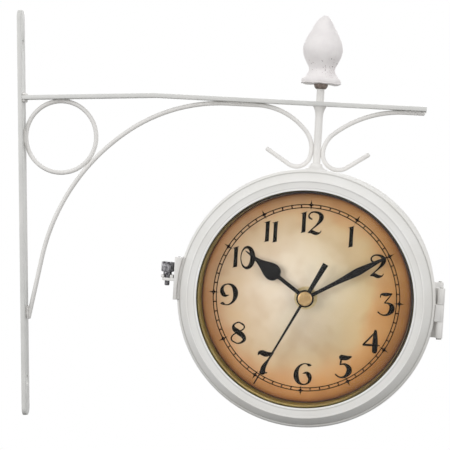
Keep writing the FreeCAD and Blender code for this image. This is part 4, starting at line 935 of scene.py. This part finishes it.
TRACK = {"Outer line": 65.2, "Inner line": 63.0, "Line width": 0.68, "Rung width": 0.85, "Mark radius": 65.0,
         "Mark length": 3.6, "Mark waist": 1.25, "Mark slimness": 0.66, "Print depth": PRINT, "Ink": track_ink}
tree, feed = new_tree("minute_track", TRACK)
rings = []
for line in ("Outer line", "Inner line"):
    loop = put(tree, "GeometryNodeCurvePrimitiveCircle", {"Resolution": 180, "Radius": feed[line]})
    strip = put(tree, "GeometryNodeCurvePrimitiveQuadrilateral", {
        "Width": feed["Line width"], "Height": feed["Print depth"]})
    rings.append(put(tree, "GeometryNodeCurveToMesh", {"Curve": loop, "Profile Curve": strip}))
span = reckon(tree, "SUBTRACT", feed["Outer line"], feed["Inner line"])
middle = reckon(tree, "MULTIPLY", reckon(tree, "ADD", feed["Outer line"], feed["Inner line"]), 0.5)
minutes = put(tree, "GeometryNodeMeshCircle", {"Vertices": 60, "Radius": middle})
fifth = reckon(tree, "MODULO", put(tree, "GeometryNodeInputIndex"), 5.0)
on_hour = put(tree, "FunctionNodeCompare", {0: fifth, 1: 0.5}, operation="LESS_THAN")
off_hour = put(tree, "FunctionNodeBooleanMath", {0: on_hour}, operation="NOT")
outward = put(tree, "FunctionNodeAlignRotationToVector", {"Vector": put(tree, "GeometryNodeInputPosition")}, axis="X")
rung_size = put(tree, "ShaderNodeCombineXYZ", {0: span, 1: feed["Rung width"], 2: feed["Print depth"]})
rung = put(tree, "GeometryNodeMeshCube", {"Size": rung_size})
rungs = set_on(tree, minutes, rung, Selection=off_hour, Rotation=outward)
hours = put(tree, "GeometryNodeMeshCircle", {"Vertices": 60, "Radius": feed["Mark radius"]})
star = put(tree, "GeometryNodeCurveStar", {
    "Points": 4, "Inner Radius": feed["Mark waist"], "Outer Radius": feed["Mark length"]})
slim = put(tree, "ShaderNodeCombineXYZ", {0: 1.0, 1: feed["Mark slimness"], 2: 1.0})
narrow = put(tree, "GeometryNodeTransform", {
    "Geometry": put(tree, "GeometryNodeFillCurve", {"Curve": star}), "Scale": slim})
thick = put(tree, "GeometryNodeExtrudeMesh", {
    "Mesh": narrow, "Offset Scale": feed["Print depth"], "Individual": False})
mark = joined(tree, thick, put(tree, "GeometryNodeFlipFaces", {"Mesh": narrow}))
marks = set_on(tree, hours, mark, Selection=on_hour, Rotation=outward)
end_tree(tree, joined(tree, *rings, rungs, marks), feed["Ink"])
for side, face in FACES.items():
    settle(f"{side}_numerals", numerals(), face, ink, "case", "hand_black")
    track = applied(f"{side}_minute_track", bpy.data.meshes.new("track_seed"), [grown(tree, TRACK)])
    track.transform(Matrix.Translation((0.0, 0.0, DIAL_FRONT + PRINT / 2)))
    track.transform(face @ MILLIMETRES)
    fit(f"{side}_minute_track", track, track_ink, "case", "hand_black")

# ---- hands, caps and nuts
# Stamped sheet hands in satin black: a spade hour hand, a leaf minute hand and a thin
# second hand with a square tail. A turned brass cap is pressed over the second hand's hub,
# and a pale brass nut and washer hold each movement to its dial.
HAND_SHEET, HAND_EASE, HUB_STEPS, HUB_PROUD = 0.4, 0.09, 64, 0.004
HANDS = {  # CAD hand, angle, depth of its back, hub radius, right half as (half width, height)
    "spade_hand": ("hour", 304.9, 32.6, 4.6, [
        (1.35, 2.0), (1.35, 14.0), (1.4, 22.6), (2.0, 23.9), (3.7, 24.6), (5.3, 26.6), (6.0, 29.6), (5.4, 32.8),
        (3.9, 36.2), (2.4, 39.8), (1.4, 43.5), (0.85, 48.0), (0.45, 52.0), (0.0, 53.6)]),
    "leaf_hand": ("minute", 59.5, 34.6, 4.0, [
        (1.2, 2.0), (1.4, 20.0), (1.9, 30.0), (2.4, 36.0), (2.65, 40.5), (2.5, 44.0), (1.9, 50.0),
        (1.45, 55.0), (1.05, 58.5), (0.6, 62.0), (0.0, 64.8)]),
    "sweep_hand": ("second", 207.6, 36.4, 6.1, [
        (0.0, -28.0), (2.05, -28.0), (1.8, -20.0), (1.5, -8.0), (0.95, 4.0), (0.78, 30.0), (0.45, 69.5),
        (0.0, 69.8)]),
}
hand_black = finish("hand_black", [(0.3, "0B0A0A"), (0.7, "141313")], patch=300.0, rough=(0.38, 0.55),
                    grain=2600.0, depth=0.00002, Specular_IOR_Level=0.15)
CAP_OUTLINE = [(0.0, 36.8), (4.7, 36.8), (4.95, 36.9), (5.0, 37.1), (5.0, 37.85), (4.93, 38.1), (4.75, 38.3),
               (4.4, 38.42), (3.0, 38.54), (0.0, 38.6)]
brass = finish("cap_brass", [(0.3, "A2845A"), (0.7, "C0A276")], patch=260.0, rough=(0.24, 0.38), grain=2200.0,
               depth=0.00003, Metallic=1.0)
pale_brass = finish("nut_brass", [(0.3, "BBA77B"), (0.7, "CCBA90")], patch=300.0, rough=(0.3, 0.45), grain=2200.0,
                    depth=0.00003, Metallic=0.6)


def blade(half, straight):
    """The whole outline of a hand from its right half, smoothed unless it has straight sides."""
    right = half if straight else smooth_line(half, 4)
    return [*right, *[(-x, y) for x, y in reversed(right) if x > 1e-6]]


for side, face in FACES.items():
    for name, (kind, angle, back, hub, half) in HANDS.items():
        bm = bmesh.new()
        slab(bm, blade(half, kind == "second"), back, back + HAND_SHEET)
        turns = [math.tau * step / HUB_STEPS for step in range(HUB_STEPS)]
        slab(bm, [(hub * math.cos(t), hub * math.sin(t)) for t in turns], back, back + HAND_SHEET + HUB_PROUD)
        bmesh.ops.recalc_face_normals(bm, faces=bm.faces)
        mesh = eased(f"{side}_{name}", plain_mesh(name, bm), HAND_EASE)
        mesh.transform(Matrix.Rotation(math.radians(-angle), 4, "Z"))
        mesh.transform(face @ MILLIMETRES)
        fit(f"{side}_{name}", mesh, hand_black, f"{side}_{kind}", "hand_black", f"{side}_{kind}_hand")
    settle(f"{side}_brass_cap", lathe(CAP_OUTLINE, 64), face, brass, f"{side}_second", "brass", f"{side}_hand_cap")
dress(["bushing_nuts"], pale_brass)

# ---- movements
# Behind each dial a moulded quartz movement: black housing and cover, pale wheels and
# arbors, a green board with its coil, and one round cell between plated contacts.
MOVEMENT = {  # dark and light tone, patch, rough, grain, depth, and the nodes behind each dial
    "movement_plastic": ("131314", "1D1D1E", 200.0, (0.5, 0.65), 1500.0, 0.00006, "movement_housing movement_cover"),
    "gear_acetal": ("DCDAD0", "EAE8DE", 400.0, (0.35, 0.5), 2000.0, 0.00002,
                    "hour_wheel cannon_pinion setting_wheel"),
    "cell_jacket": ("3A424B", "48525C", 200.0, (0.2, 0.35), 1200.0, 0.00002, "battery"),
    "board_resin": ("1E4A2C", "2A5E38", 500.0, (0.3, 0.45), 1600.0, 0.00004, "circuit_board"),
}
for name, (dark, light, patch, rough, grain, depth, nodes) in MOVEMENT.items():
    material = finish(name, [(0.3, dark), (0.7, light)], patch, rough, grain, depth)
    dress([f"{side}_{node}" for side in FACES for node in nodes.split()], material)
dress(["front_seconds_arbor", "rear_seconds_arbor", "battery_contacts"], zinc)

# ---- floor
# A plain round floor of pale board below the hanging clock. What it throws back on the
# clock's underside is held down, as in a room whose floor is farther off.
FLOOR_PLACE, FLOOR_RADIUS = (0.15, 0.0, -0.52), 1.6
floor_finish = finish("pale_floor", [(0.3, "E4E3E1"), (0.7, "EAE9E7")], patch=3.0, rough=(0.6, 0.75), grain=60.0,
                      depth=0.0002)
tree = floor_finish.node_tree
colour = tree.nodes["Principled BSDF"].inputs["Base Color"]
thrown = put(tree, "ShaderNodeLightPath").outputs["Is Diffuse Ray"]
tree.links.new(mixed(tree, thrown, colour.links[0].from_socket, tone("4C4C4B")), colour)
bm = bmesh.new()
bmesh.ops.create_circle(bm, cap_ends=True, segments=96, radius=FLOOR_RADIUS)
bm.transform(Matrix.Translation(FLOOR_PLACE))
floor = linked("floor", plain_mesh("floor", bm))
floor.data.materials.append(floor_finish)

# ---- lamps and world
# A wide soft lamp at the left, a weaker one at the right and a third behind, in a white
# surround that is dimmer from below where it lights the clock.
LIT, LAMP_WIDTH = (0.15, 0.0, 0.0), 1.2
LAMPS = {"key_lamp": ((-1.25, -1.45, 0.5), 16.0), "fill_lamp": ((1.6, -1.0, 0.35), 10.0),
         "rear_lamp": ((0.3, 1.8, 1.0), 8.0)}  # (place, watts)
for name, (spot, power) in LAMPS.items():
    light = bpy.data.lights.new(name, "AREA")
    light.size = LAMP_WIDTH
    light.energy = power
    lamp = linked(name, light)
    lamp.location = spot
    lamp.rotation_euler = (Vector(LIT) - Vector(spot)).to_track_quat("-Z", "Y").to_euler()

world = bpy.data.worlds.new("studio")
bpy.context.scene.world = world
world.use_nodes = True
tree = world.node_tree
rays = put(tree, "ShaderNodeLightPath").outputs
seen = reckon(tree, "MAXIMUM", rays["Is Camera Ray"], rays["Is Glossy Ray"])
seen = reckon(tree, "MAXIMUM", seen, rays["Is Transmission Ray"])
seen = reckon(tree, "MULTIPLY", seen, reckon(tree, "LESS_THAN", rays["Diffuse Depth"], 0.5))
tree.nodes["Background"].inputs["Color"].default_value = (1.0, 1.0, 1.0, 1.0)
above = put(tree, "ShaderNodeSeparateXYZ", {"Vector": put(tree, "ShaderNodeTexCoord").outputs["Generated"]})
soft = between(tree, above.outputs["Z"], 0.04, 0.62, -0.42, 0.08)
tree.links.new(reckon(tree, "MAXIMUM", seen, soft), tree.nodes["Background"].inputs["Strength"])

# ---- camera
# Where the photograph was taken from: in front of the clock, a little to its right and
# almost level with the middle of the bracket.
CAMERA_PLACE, CAMERA_TURN = (0.28796, -1.13105, 0.02070), (88.480, 0.520, 6.936)
camera = linked("camera", bpy.data.cameras.new("camera"))
camera.data.sensor_width = 36.0
camera.data.lens = 126.65
camera.location = CAMERA_PLACE
camera.rotation_euler = [math.radians(turn) for turn in CAMERA_TURN]
bpy.context.scene.camera = camera
bpy.context.scene.view_settings.view_transform = "Standard"
